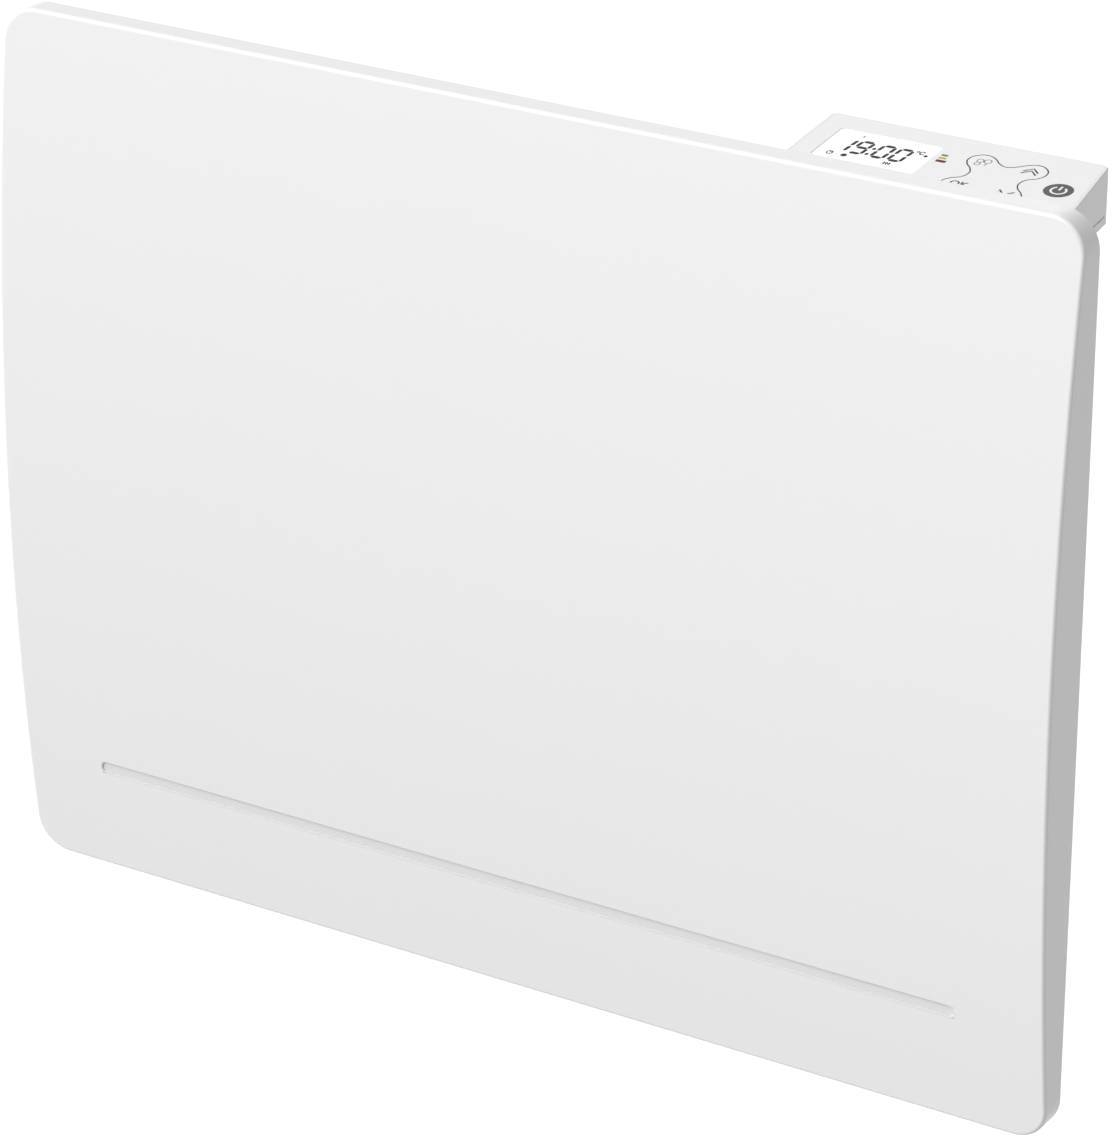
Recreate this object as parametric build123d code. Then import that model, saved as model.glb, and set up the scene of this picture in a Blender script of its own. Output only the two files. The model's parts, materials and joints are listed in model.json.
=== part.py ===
from build123d import *
import os
from math import atan2, degrees, radians, sqrt, tan

# Wall panel convector heater. Lengths in mm, angles in degrees.
# X runs along the wall to the right, Y into the wall, Z up.
# The origin is the centre of the bracket's screw pattern, on the wall's surface.

# Front panel: one pressed steel sheet
panel_width = 588.5
panel_height = 460.0
panel_sheet = 1.0
panel_edge_depth = 13.0
panel_bow = 15.7
panel_corner_radius = 18.4
panel_edge_radius = 1.8
panel_lip = 9.0
groove_end_gap = 47.25
groove_width = 6.4
groove_depth = 1.2
groove_wall_run = 0.9
groove_height = 60.0

# Side rails welded behind the panel's lip
rail_sheet = 1.2
rail_end_inset = 45.0
rail_fold = 8.0
rail_end_gap = 0.5

# Rear casing: one drawn steel tray
wall_gap = 15.0
casing_side_inset = 34.25
casing_depth = 57.0
casing_drop = 26.7
casing_rise = 33.3
casing_sheet = 1.0
casing_corner_radius = 6.0
casing_back_radius = 3.0
casing_flange = 12.0
louvre_length = 100.0
louvre_rise = 5.0
louvre_pitch = 14.0
louvre_rows = 3
louvre_columns = 3
louvre_side_gap = 60.0
louvre_margin = 17.0
vent_length = 40.0
vent_width = 6.0
vent_pitch = 50.0
vent_row_pitch = 12.0
vent_rows = 3
vent_margin = 18.0

# Wall bracket
bracket_sheet = 2.0
bracket_length = 330.0
bracket_height = 34.0
bracket_fold = 6.0
mount_spacing_x = 280.0
mount_spacing_z = 226.0
mount_slot_length = 14.0
mount_slot_width = 6.0
hook_spacing = 220.0
hook_width = 20.0
hook_tip = 12.0
hook_bend = 2.4
hook_inner_bend = 0.4
hook_tip_round = 0.9
hook_gap = 0.8
hook_side_gap = 3.0
lift_clearance = 1.0
upright_spacing = 120.0
upright_width = 30.0
upright_sheet = 1.5
upright_end_gap = 1.0

# Screws and spacers
sheet_screw_radius = 1.8
sheet_screw_head_radius = 3.8
sheet_screw_head = 1.8
sheet_screw_length = 9.0
screw_head_chamfer = 0.55
screw_clearance = 0.1
screws_per_rail = 3
rail_screw_inset = 35.0
spacer_radius = 9.0
spacer_stem_radius = 3.0
spacer_stem = 4.0
spacer_round = 1.8
spacer_inset_x = 45.0
spacer_inset_z = 22.0

# Convector element
element_left_gap = 55.0
element_right_gap = 105.0
element_below_top = 263.0
element_y_from_back = 33.0
hub_radius = 9.0
arm_length = 25.0
arm_sheet = 1.8
arm_angle = 38.0
fin_length = 9.0
fin_sheet = 1.4
fin_places = (15.5, 23.0)
arm_cuts = 9
arm_cut_width = 2.0
rod_radius = 4.25
rod_clearance = 0.05
rod_overhang = 24.0
terminal_radius = 2.0
terminal_length = 9.0
terminal_collar = 3.0
bush_radius = 8.0
bush_length = 3.6
bush_flange_radius = 10.0
bush_flange = 2.0
bush_gap = 1.0
bracket_plate = 1.2
bracket_plate_height = 48.0
bracket_plate_depth = 44.0
bracket_plate_round = 8.0
bracket_foot = 14.0
bracket_screw_pitch = 32.0

# Heat shield and thermal cut-out
shield_sheet = 0.5
shield_standoff = 10.0
shield_height = 210.0
shield_below_element = 70.0
shield_foot = 10.0
shield_end_gap = 14.0
cutout_radius = 7.8
cutout_depth = 9.0
cutout_from_end = 95.0
cutout_above_element = 80.0
clip_sheet = 0.8
clip_length = 32.0
clip_width = 12.0
clip_arm = 6.3
blade_width = 6.3
blade_sheet = 0.8
blade_length = 8.0
blade_pitch = 8.0

# Power electronics
tray_width = 58.0
tray_height = 160.0
tray_wall = 2.0
tray_depth = 16.0
tray_side_gap = 7.0
tray_below_top = 83.0
tray_post = 7.0
tray_post_radius = 3.0
tray_screw_inset = 11.0
board_post_inset = 4.0
board_thickness = 1.6
board_gap = 1.0
component_edge_gap = 3.0
relay_size = (15.5, 16.0, 22.0)
relay_rise = 60.0
relay_round = 1.0
transformer_size = (30.0, 22.0, 26.0)
transformer_rise = 84.0
bobbin_width = 18.0
bobbin_height = 16.6
bobbin_stand = 2.0
bobbin_round = 1.5
terminal_size = (48.0, 24.0, 14.0)
terminal_rise = 6.0
terminal_ways = 6
screw_well_radius = 1.8
screw_well_depth = 3.0
screw_well_rise = 9.0
connector_size = (10.0, 22.0, 14.0)
connector_edge_gap = 2.0
sensor_connector_rise = 34.0
cutout_connector_rise = 110.0
lead_radius = 1.2
lead_bend = 6.0
lead_pitch = 6.0
lead_floor_height = 25.0
lead_side_run = 12.0
ribbon_width = 10.0
ribbon_thickness = 1.0

# Rocker switch in the casing's right side
switch_below_top = 333.0
switch_y_from_back = 29.0
bezel_size = (16.0, 23.0)
bezel_thickness = 2.0
bezel_corner = 1.5
bezel_chamfer = 0.7
switch_body = (13.0, 20.0)
switch_body_depth = 16.0
switch_wall = 1.2
switch_fit = 0.15
rocker_side_gap = 0.3
rocker_half_length = 7.2
rocker_face_height = 5.0
rocker_belly = 6.8
rocker_tilt = 11.0
rocker_pivot_depth = 4.0
rocker_pin_radius = 1.2
rocker_pin_length = 0.9
pin_clearance = 0.05

# Supply gland and air sensor in the casing's floor
gland_from_side = 35.0
gland_y_from_back = 29.0
gland_bore = 3.6
gland_neck_radius = 6.2
gland_flange_radius = 9.0
gland_flange = 2.0
gland_sleeve = 14.0
gland_sleeve_radius = 7.0
gland_tip_radius = 6.0
sensor_from_side = 70.0
sensor_y_from_back = 23.0
sensor_radius = 2.2
sensor_length = 12.0
holder_height = 16.0
holder_width = 9.0
holder_floor = 2.0
holder_opening = 3.5

# Control box
box_width = 140.7
box_overhang = 10.1
box_taper = 0.131
box_depth = 56.7
box_panel_gap = 0.5
box_back_height = 26.8
box_slope = 0.115
box_wall = 2.0
box_parting = 4.7
box_groove_height = 0.8
box_groove_depth = 0.8
box_lip = 2.0
box_lip_wall = 0.9
box_lip_gap = 0.1
box_corner_radius = 3.0
box_edge_radius = 0.6
film_thickness = 0.3
film_margin = 1.3
film_gap = 0.1
ceiling = 2.0
window_left = 11.9
window_front = 13.4
window_size = (52.5, 30.4)
window_corner = 2.0
glass_step = 1.6
glass_thickness = 2.2
glass_gap = 0.05
frame_thickness = 2.8
frame_border = 0.8
frame_recess = 1.0
key_places = {
    "mode": (87.6, 37.9),
    "up": (110.8, 37.9),
    "ok": (87.8, 13.3),
    "down": (113.4, 13.3),
    "power": (131.5, 25.2),
}
key_radius = 4.4
power_key_radius = 6.4
key_gap = 0.3
key_flange = 0.9
key_flange_step = 1.0
key_film_gap = 0.05
key_travel = 0.3
switch_size = 6.0
switch_height = 2.4
stem_radius = 1.5
stem_clearance = 0.05
control_board_left = 9.8
control_board_right = 135.6
control_board_front = 5.0
control_board_back = 52.0
post_radius = 3.0
post_inset_y = 8.0
post_inset_x = 5.1
box_screw_radius = 1.4
box_screw_head_radius = 2.6
box_screw_head = 1.6
box_screw_bite = 6.0
grommet_from_side = 35.0
grommet_from_back = 25.0
grommet_radius = 7.9
grommet_flange_radius = 10.0
grommet_flange = 1.5
boss_radius = 3.6
boss_height = 7.0
mount_inset = 14.0
mount_left_inset = 20.6
mount_right_inset = 25.1
stake_radius = 1.5
stake_inset = 3.0
stake_right_inset = 9.0
control_part_height = 4.0
socket_wall = 2.0
chip_size = 12.0
chip_height = 1.4
chip_from_cable = 45.0
sounder_radius = 6.0
sounder_from_cable = (25.0, 12.0)

# Derived places
casing_width = panel_width - 2 * casing_side_inset
casing_height = panel_height - casing_drop - casing_rise
groove_length = panel_width - 2 * groove_end_gap
rail_height = panel_height - 2 * rail_end_inset
rail_screw_pitch = (rail_height - 2 * rail_screw_inset) / (screws_per_rail - 1)
panel_back = -(wall_gap + casing_depth)
lip_front = panel_back - panel_sheet
face_edge = panel_back - panel_edge_depth
bow_radius = ((panel_height / 2) ** 2 + panel_bow ** 2) / (2 * panel_bow)
bow_centre = face_edge - panel_bow + bow_radius
groove_z = groove_height - panel_height / 2
casing_back = -wall_gap
casing_inside = casing_back - casing_sheet
casing_top = panel_height / 2 - casing_drop
casing_bottom = casing_top - casing_height
rail_inner = casing_width / 2 - casing_sheet
rail_outer = panel_width / 2 - panel_sheet - rail_end_gap
rail_screw_x = casing_width / 2 + casing_flange / 2
hook_tops = {
    "upper": (bracket_height + mount_spacing_z) / 2,
    "lower": (bracket_height - mount_spacing_z) / 2,
}
slot_top_width = hook_width + 2 * hook_side_gap
lift_travel = hook_tip + lift_clearance
hook_slot_height = lift_travel + bracket_sheet + 1.5 * lift_clearance
element_z = casing_top - element_below_top
element_y = casing_back - element_y_from_back
element_ends = (element_left_gap - casing_width / 2, casing_width / 2 - element_right_gap)
element_length = element_ends[1] - element_ends[0]
shield_y = casing_inside - shield_standoff
cutout_x = element_ends[1] - cutout_from_end
cutout_z = element_z + cutout_above_element
tray_right = casing_width / 2 - tray_side_gap
tray_left = tray_right - tray_width
tray_top = casing_top - tray_below_top
tray_bottom = tray_top - tray_height
board_y = casing_inside - tray_wall - tray_post
board_front = board_y - board_thickness
board_low = tray_bottom + tray_wall + board_gap
board_high = tray_top - tray_wall - board_gap
board_left = tray_left + tray_wall + board_gap
board_right = tray_right - tray_wall - board_gap
terminal_left = (board_left + board_right - terminal_size[0]) / 2
terminal_low = board_low + terminal_rise
lead_far_x = terminal_length + rod_overhang
switch_z = casing_top - switch_below_top
switch_y = casing_back - switch_y_from_back
switch_face = casing_width / 2
pivot_x = switch_face - rocker_pivot_depth
gland_x = casing_width / 2 - gland_from_side
gland_y = casing_back - gland_y_from_back
sensor_x = casing_width / 2 - sensor_from_side
sensor_y = casing_back - sensor_y_from_back
box_right_back = casing_width / 2 + box_overhang
box_left = box_right_back - box_width
box_front = panel_back + box_panel_gap
box_back = panel_back + box_depth + box_panel_gap
box_bottom = casing_top
box_back_top = box_bottom + box_back_height
box_front_top = box_back_top - box_slope * (box_back - panel_back)
parting_z = box_bottom + box_parting
floor_top = box_bottom + box_wall
grommet_x = casing_width / 2 - grommet_from_side
grommet_y = box_back - grommet_from_back
mount_right = box_right_back - mount_right_inset
slope_length = sqrt(1 + box_slope ** 2)
recess_depth = film_thickness
ceiling_depth = film_thickness + ceiling
glass_depth = ceiling_depth + glass_gap
frame_depth = glass_depth + glass_thickness
control_board_depth = frame_depth + frame_thickness

# The box's sloped top: its local X starts at the box's left side, its local Y climbs towards the wall
top_plane = Plane(origin=(box_left, panel_back, box_front_top), x_dir=(1, 0, 0), z_dir=(0, -box_slope, 1))

from_corner = (Align.MIN, Align.MIN, Align.MIN)
from_base = (Align.CENTER, Align.CENTER, Align.MIN)
front = (0, -1, 0)
wall = (0, 1, 0)
up = (0, 0, 1)
down = (0, 0, -1)
right = (1, 0, 0)
left = (-1, 0, 0)


def block(x, y, z):
    """A box between two limits along each axis."""
    low = (min(x), min(y), min(z))
    return Pos(*low) * Box(abs(x[1] - x[0]), abs(y[1] - y[0]), abs(z[1] - z[0]), align=from_corner)


def bar(start, direction, radius, length):
    """A round bar that leaves a point in a direction."""
    return Plane(start, z_dir=direction) * Cylinder(radius, length, align=from_base)


def group(shapes):
    """Several separate solids in one node."""
    return Compound(children=[solid for shape in shapes for solid in shape.solids()])


def rounded(points, rounds):
    """A closed outline with the radius given for each corner, 0 where it stays sharp."""
    return make_face(FilletPolyline(*points, radius=rounds, close=True))


def side_profile(points, rounds, x):
    """An outline in Y and Z, extruded between two limits along X."""
    plane = Plane(origin=(min(x), 0, 0), x_dir=(0, 1, 0), z_dir=(1, 0, 0))
    return extrude(plane * rounded(points, rounds), amount=abs(x[1] - x[0]))


def screw(base, direction, radius, length, head_radius, head):
    """A screw whose shank leaves the base in a direction, with its chamfered head the other way."""
    back = tuple(-value for value in direction)
    cap = Cylinder(head_radius, head, align=from_base)
    cap = chamfer(cap.faces().sort_by(Axis.Z)[-1].edges(), screw_head_chamfer)
    return Plane(base, z_dir=back) * cap + bar(base, direction, radius, length)


def sheet_screw(base, direction):
    """The self-tapping screw used all over the casing."""
    head_radius = sheet_screw_head_radius
    return screw(base, direction, sheet_screw_radius, sheet_screw_length, head_radius, sheet_screw_head)


def lead(points):
    """An insulated lead along straight runs with rounded turns."""
    if len(points) > 2:
        path = FilletPolyline(*points, radius=lead_bend)
    else:
        path = Line(*points)
    return sweep((path ^ 0) * Circle(lead_radius), path=path)


# Wall bracket

def hook(top, middle):
    """A tongue folded forward from the rail's upper edge, with its end turned up."""
    tip_front = casing_inside - hook_gap - bracket_sheet
    tip_back = tip_front + bracket_sheet
    low = top - bracket_sheet
    high = top + hook_tip
    outline = [(0, top), (0, low), (tip_front, low), (tip_front, high), (tip_back, high), (tip_back, top)]
    rounds = [0, 0, hook_bend, hook_tip_round, hook_tip_round, hook_inner_bend]
    return side_profile(outline, rounds, (middle - hook_width / 2, middle + hook_width / 2))


def bracket_rail(name):
    """A folded rail with two upturned hooks on its upper edge and slotted screw holes."""
    top = hook_tops[name]
    bottom = top - bracket_height
    half = bracket_length / 2
    rail = block((-half, half), (-bracket_sheet, 0), (bottom, top))
    if name == "upper":
        inner = hook_spacing / 2 - hook_width
        rail += block((-inner, inner), (-bracket_fold, 0), (top - bracket_sheet, top))
    else:
        rail += block((-half, half), (-bracket_fold, 0), (bottom, bottom + bracket_sheet))
    slot = SlotOverall(mount_slot_length, mount_slot_width)
    for side in (-1, 1):
        rail += hook(top, side * hook_spacing / 2)
        centre = (side * mount_spacing_x / 2, -2 * bracket_sheet, (top + bottom) / 2)
        rail -= extrude(Plane(centre, x_dir=right, z_dir=wall) * slot, amount=3 * bracket_sheet)
    return rail


def bracket_upright(side):
    """A flat strip with one folded edge that joins the two rails."""
    low = hook_tops["lower"] - bracket_height + bracket_sheet + upright_end_gap
    high = hook_tops["upper"] - bracket_sheet - upright_end_gap
    middle = side * upright_spacing / 2
    inner = middle - side * upright_width / 2
    outer = middle + side * upright_width / 2
    strip_front = -bracket_sheet - upright_sheet
    strip = block((inner, outer), (strip_front, -bracket_sheet), (low, high))
    edge = block((outer - side * upright_sheet, outer), (-bracket_fold, -bracket_sheet), (low, high))
    return strip + edge


# Front panel

def bowed_block(inset, back):
    """The panel's rounded outline run forward to its bowed face, all inset by a wall."""
    outline = RectangleRounded(panel_width - 2 * inset, panel_height - 2 * inset, panel_corner_radius - inset)
    reach = panel_edge_depth + 2 * panel_bow
    prism = extrude(Plane((0, back, 0), x_dir=right, z_dir=front) * outline, amount=reach)
    bow = bar((-panel_width, bow_centre, 0), right, bow_radius - inset, 2 * panel_width)
    solid = prism & bow
    face = solid.faces().sort_by(Axis.Y)[0]
    return fillet(face.edges(), panel_edge_radius - inset)


def groove_tool(deeper, wider, reach):
    """The groove as a tapered slot square to the bowed face, its floor sunk below the surface."""
    face_y = bow_centre - sqrt(bow_radius ** 2 - groove_z ** 2)
    normal = (0, face_y - bow_centre, groove_z)
    surface = Plane((0, face_y, groove_z), x_dir=right, z_dir=normal)
    lean = degrees(atan2(groove_wall_run, groove_depth))
    length = groove_length - 2 * groove_wall_run + 2 * wider
    width = groove_width - 2 * groove_wall_run + 2 * wider
    floor = surface.offset(-groove_depth - deeper) * SlotOverall(length, width)
    return extrude(floor, amount=reach, taper=-lean)


def front_panel():
    """One pressed sheet: bowed face, flange all round, lip turned in, groove near the bottom."""
    shell = bowed_block(0, panel_back) - bowed_block(panel_sheet, lip_front)
    lip_radius = panel_corner_radius - panel_lip
    opening = RectangleRounded(panel_width - 2 * panel_lip, panel_height - 2 * panel_lip, lip_radius)
    back_plane = Plane((0, panel_back, 0), x_dir=right, z_dir=front)
    shell -= extrude(back_plane * opening, amount=panel_sheet)
    ridge = groove_tool(panel_sheet, panel_sheet / 2, groove_depth + panel_sheet / 2)
    groove = groove_tool(0, 0, 2 * groove_depth)
    return shell + ridge - groove


def panel_rail(side):
    """A folded rail behind the side lip that the casing is screwed to."""
    half = rail_height / 2
    front_y = lip_front - rail_sheet
    rail = block((side * rail_inner, side * rail_outer), (front_y, lip_front), (-half, half))
    fold_x = side * (rail_inner + rail_sheet)
    rail += block((side * rail_inner, fold_x), (front_y - rail_fold, lip_front), (-half, half))
    for place in screw_rows():
        rail -= bar((side * rail_screw_x, lip_front, place), front, sheet_screw_radius, rail_sheet)
    return rail


def screw_rows():
    """Heights of the screws that hold the casing on its rails."""
    middle = (screws_per_rail - 1) / 2
    return [(number - middle) * rail_screw_pitch for number in range(screws_per_rail)]


def panel_screws():
    """Screws from behind through the casing's flanges into the rails."""
    head_y = lip_front + casing_sheet
    places = [(side * rail_screw_x, head_y, z) for side in (-1, 1) for z in screw_rows()]
    return group([sheet_screw(place, front) for place in places])


# Rear casing

def casing_tray():
    """The drawn tray with its rounded corners and hollow inside, open at the front."""
    half = casing_width / 2
    outer = block((-half, half), (lip_front, casing_back), (casing_bottom, casing_top))
    outer = fillet(outer.edges().filter_by(Axis.Y), casing_corner_radius)
    outer = fillet(outer.faces().sort_by(Axis.Y)[-1].edges(), casing_back_radius)
    wall_x = half - casing_sheet
    low = casing_bottom + casing_sheet
    high = casing_top - casing_sheet
    inner = block((-wall_x, wall_x), (lip_front, casing_inside), (low, high))
    inner = fillet(inner.edges().filter_by(Axis.Y), casing_corner_radius - casing_sheet)
    inner = fillet(inner.faces().sort_by(Axis.Y)[-1].edges(), casing_back_radius - casing_sheet)
    return outer - inner


def louvre(middle, low):
    """A pressed louvre: its hood, and the hollow and slit cut behind the hood."""
    half = louvre_length / 2
    inside = louvre_rise - casing_sheet
    hood = bar((middle - half, casing_back, low), right, louvre_rise, louvre_length)
    outside = block(
        (middle - half, middle + half), (casing_back - casing_sheet / 2, 0), (low, low + louvre_rise))
    inner_half = half - casing_sheet
    hollow = bar((middle - inner_half, casing_back, low), right, inside, 2 * inner_half)
    slit = block(
        (middle - inner_half, middle + inner_half), (casing_inside, casing_back), (low, low + inside))
    return hood & outside, hollow + slit


def louvre_places():
    """Centres of the louvres: a block of rows near the bottom and another near the top."""
    span = (louvre_rows - 1) * louvre_pitch
    starts = (casing_bottom + louvre_margin, casing_top - louvre_margin - span - louvre_rise)
    middle = (louvre_columns - 1) / 2
    pitch = (casing_width / 2 - louvre_side_gap - louvre_length / 2) / middle
    columns = [(number - middle) * pitch for number in range(louvre_columns)]
    heights = [start + row * louvre_pitch for start in starts for row in range(louvre_rows)]
    return [(x, z) for z in heights for x in columns]


def vents(z, x_limits):
    """Rows of long slots through a level wall of the casing."""
    slots = []
    plane = Plane((0, 0, z - casing_sheet), x_dir=right, z_dir=up)
    count = int((x_limits[1] - x_limits[0] - vent_length) // vent_pitch) + 1
    for row in range(vent_rows):
        y = casing_back - vent_margin - row * vent_row_pitch
        for number in range(count):
            x = x_limits[0] + vent_length / 2 + number * vent_pitch
            slot = Pos(x, y) * SlotOverall(vent_length, vent_width)
            slots.append(extrude(plane * slot, amount=2 * casing_sheet))
    return slots


def rear_casing():
    """Steel tray behind the panel, with side flanges, hook slots, louvres and vents."""
    tray = casing_tray()
    half = casing_width / 2
    outer = half + casing_flange
    flange_half = rail_height / 2
    for side in (-1, 1):
        x = (side * (half - casing_sheet), side * outer)
        tray += block(x, (lip_front, lip_front + casing_sheet), (-flange_half, flange_half))
    hoods, hollows = zip(*[louvre(x, z) for x, z in louvre_places()])
    tray += list(hoods)
    tray -= list(hollows)
    for top in hook_tops.values():
        for side in (-1, 1):
            middle = side * hook_spacing / 2
            x = (middle - slot_top_width / 2, middle + slot_top_width / 2)
            tray -= block(x, (casing_inside, casing_back), (top - hook_slot_height, top))
    vent_end = half - vent_margin
    tray -= vents(casing_top, (-vent_end, box_left - vent_margin))
    tray -= vents(casing_bottom + casing_sheet, (-vent_end, sensor_x - vent_margin))
    tray -= casing_holes()
    return tray


def casing_holes():
    """Round and square holes in the casing for what is fixed to it."""
    holes = []
    loose = sheet_screw_radius + screw_clearance
    for side in (-1, 1):
        for z in screw_rows():
            holes.append(bar((side * rail_screw_x, lip_front, z), wall, loose, casing_sheet))
    for x, z in element_screw_places() + tray_screw_places():
        holes.append(bar((x, casing_inside, z), wall, loose, casing_sheet))
    for x, z in spacer_places():
        holes.append(bar((x, casing_inside, z), wall, spacer_stem_radius, casing_sheet))
    for x, y in box_mount_places():
        holes.append(bar((x, y, casing_top - casing_sheet), up, loose, casing_sheet))
    holes.append(bar((grommet_x, grommet_y, casing_top - casing_sheet), up, grommet_radius, casing_sheet))
    holes.append(bar((gland_x, gland_y, casing_bottom), up, gland_neck_radius, casing_sheet))
    y = (switch_y - switch_body[0] / 2 - switch_fit, switch_y + switch_body[0] / 2 + switch_fit)
    z = (switch_z - switch_body[1] / 2 - switch_fit, switch_z + switch_body[1] / 2 + switch_fit)
    holes.append(block((switch_face - casing_sheet, switch_face), y, z))
    return holes


def spacer_places():
    """Where the two wall spacers sit, low on the casing's back."""
    x = casing_width / 2 - spacer_inset_x
    return [(side * x, casing_bottom + spacer_inset_z) for side in (-1, 1)]


def wall_spacers():
    """Moulded feet that keep the casing's lower edge off the wall."""
    feet = []
    for x, z in spacer_places():
        pad = Cylinder(spacer_radius, wall_gap, align=from_base)
        pad = fillet(pad.faces().sort_by(Axis.Z)[-1].edges(), spacer_round)
        pad = Plane((x, casing_back, z), z_dir=wall) * pad
        stem = bar((x, casing_back, z), front, spacer_stem_radius, spacer_stem)
        feet.append(pad + stem)
    return group(feet)


# Convector element

def element_body():
    """Finned aluminium body: a hub with four slanted arms, each with small fins, cut across at intervals."""
    arm = Pos(arm_length / 2, 0) * Rectangle(arm_length, arm_sheet)
    for place in fin_places:
        arm += Pos(place, 0) * Rectangle(fin_sheet, fin_length)
    section = Circle(hub_radius)
    for turn in (90 - arm_angle, 90 + arm_angle, 270 - arm_angle, 270 + arm_angle):
        section += Rot(0, 0, turn) * arm
    section -= Circle(rod_radius + rod_clearance)
    start = Plane((element_ends[0], element_y, element_z), x_dir=wall, z_dir=right)
    body = extrude(start * section, amount=element_length)
    pitch = element_length / (arm_cuts + 1)
    reach = 4 * arm_length
    cutters = []
    for number in range(1, arm_cuts + 1):
        x = element_ends[0] + number * pitch
        centre = (x, element_y, element_z)
        slab = Plane(centre, z_dir=right) * Box(reach, reach, arm_cut_width, align=from_base)
        cutters.append(slab - bar(centre, right, hub_radius, arm_cut_width))
    return body - cutters


def heating_rod():
    """The sheathed rod that runs through the body."""
    length = element_length + 2 * rod_overhang
    return bar((element_ends[0] - rod_overhang, element_y, element_z), right, rod_radius, length)


def rod_terminals():
    """A stud with its collar at each end of the rod."""
    studs = []
    for end, direction in ((element_ends[0] - rod_overhang, left), (element_ends[1] + rod_overhang, right)):
        stud = bar((end, element_y, element_z), direction, terminal_radius, terminal_length)
        collar = bar((end, element_y, element_z), direction, rod_radius, terminal_collar)
        studs.append(stud + collar)
    return group(studs)


def bracket_x(side):
    """Inner face of an element bracket."""
    end = element_ends[0] if side < 0 else element_ends[1]
    return end + side * (bush_gap + bush_flange)


def element_bushes():
    """Ceramic bushes that hold the rod in the end brackets."""
    bushes = []
    for side, direction in ((-1, left), (1, right)):
        x = bracket_x(side)
        bush = bar((x, element_y, element_z), direction, bush_radius, bush_length)
        start = (x - side * bush_flange, element_y, element_z)
        bush += bar(start, direction, bush_flange_radius, bush_flange)
        bush -= bar(start, direction, rod_radius + rod_clearance, bush_flange + bush_length)
        bushes.append(bush)
    return group(bushes)


def element_bracket(side):
    """A folded bracket on the casing's back that carries one end of the element."""
    x = bracket_x(side)
    half = bracket_plate_height / 2
    outer = x + side * bracket_plate
    plate_front = casing_inside - bracket_plate_depth
    low = element_z - half
    high = element_z + half
    outline = [(casing_inside, low), (plate_front, low), (plate_front, high), (casing_inside, high)]
    plate = side_profile(outline, [0, bracket_plate_round, bracket_plate_round, 0], (x, outer))
    foot_end = x + side * bracket_foot
    plate += block((x, foot_end), (casing_inside - bracket_plate, casing_inside), (low, high))
    plate -= bar((x, element_y, element_z), (side, 0, 0), bush_radius, bracket_plate)
    for hole_x, hole_z in element_screw_places():
        plate -= bar((hole_x, casing_back, hole_z), front, sheet_screw_radius, sheet_screw_length)
    return plate


def element_screw_places():
    """Screws through the casing's back into the element brackets' feet."""
    places = []
    for side in (-1, 1):
        x = bracket_x(side) + side * (bracket_foot + bracket_plate) / 2
        places += [(x, element_z + step * bracket_screw_pitch / 2) for step in (-1, 1)]
    return places


def casing_screws():
    """Screws driven from behind for the element brackets and the board tray."""
    places = element_screw_places() + tray_screw_places()
    return group([sheet_screw((x, casing_back, z), front) for x, z in places])


def heat_shield():
    """A folded sheet between the element and the casing's back, standing on two feet."""
    x = (bracket_x(-1) + shield_end_gap, bracket_x(1) - shield_end_gap)
    low = element_z - shield_below_element
    high = low + shield_height
    back = casing_inside
    thin = shield_sheet
    outline = [
        (back, low - shield_foot), (back, low), (shield_y, low), (shield_y, high), (back, high),
        (back, high + shield_foot), (back - thin, high + shield_foot), (back - thin, high + thin),
        (shield_y - thin, high + thin), (shield_y - thin, low - thin), (back - thin, low - thin),
        (back - thin, low - shield_foot)]
    return side_profile(outline, [0] * len(outline), x)


def thermal_cutout():
    """A disc cut-out with two blade terminals."""
    base_y = shield_y - shield_sheet - clip_sheet
    body = bar((cutout_x, base_y, cutout_z), front, cutout_radius, cutout_depth)
    face_y = base_y - cutout_depth
    for side in (-1, 1):
        x = cutout_x + side * blade_pitch / 2
        blade_x = (x - blade_sheet / 2, x + blade_sheet / 2)
        blade_z = (cutout_z - blade_width / 2, cutout_z + blade_width / 2)
        body += block(blade_x, (face_y - blade_length, face_y), blade_z)
    return body


def cutout_clip():
    """A spring strip that holds the cut-out on the heat shield."""
    y = shield_y - shield_sheet
    half = clip_length / 2
    z = (cutout_z - clip_width / 2, cutout_z + clip_width / 2)
    strip = block((cutout_x - half, cutout_x + half), (y - clip_sheet, y), z)
    for side in (-1, 1):
        inner = cutout_x + side * (cutout_radius + screw_clearance)
        strip += block((inner, inner + side * clip_sheet), (y - clip_arm, y), z)
    return strip


# Power electronics

def tray_screw_places():
    """Screws through the casing's back into the tray."""
    x = (tray_left + tray_right) / 2
    reach = tray_height / 2 - tray_screw_inset
    middle = (tray_top + tray_bottom) / 2
    return [(x, middle - reach), (x, middle + reach)]


def board_post_places():
    """Posts that carry the power board, near its corners."""
    columns = (board_left + board_post_inset, board_right - board_post_inset)
    rows = (board_low + board_post_inset, board_high - board_post_inset)
    return [(x, z) for x in columns for z in rows]


def power_tray():
    """A moulded tray with a rim and four posts."""
    rim_y = casing_inside - tray_depth
    outer = block((tray_left, tray_right), (rim_y, casing_inside), (tray_bottom, tray_top))
    outer = fillet(outer.edges().filter_by(Axis.Y), tray_wall)
    hollow = block(
        (tray_left + tray_wall, tray_right - tray_wall), (rim_y, casing_inside - tray_wall),
        (tray_bottom + tray_wall, tray_top - tray_wall))
    tray = outer - hollow
    for x, z in board_post_places():
        tray += bar((x, casing_inside - tray_wall, z), front, tray_post_radius, tray_post)
    for x, z in tray_screw_places():
        tray += bar((x, casing_inside - tray_wall, z), front, tray_post_radius, tray_post / 2)
        tray -= bar((x, casing_inside, z), front, sheet_screw_radius, tray_post)
    return tray


def power_board():
    """The mains board on the tray's posts."""
    return block((board_left, board_right), (board_front, board_y), (board_low, board_high))


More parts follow.
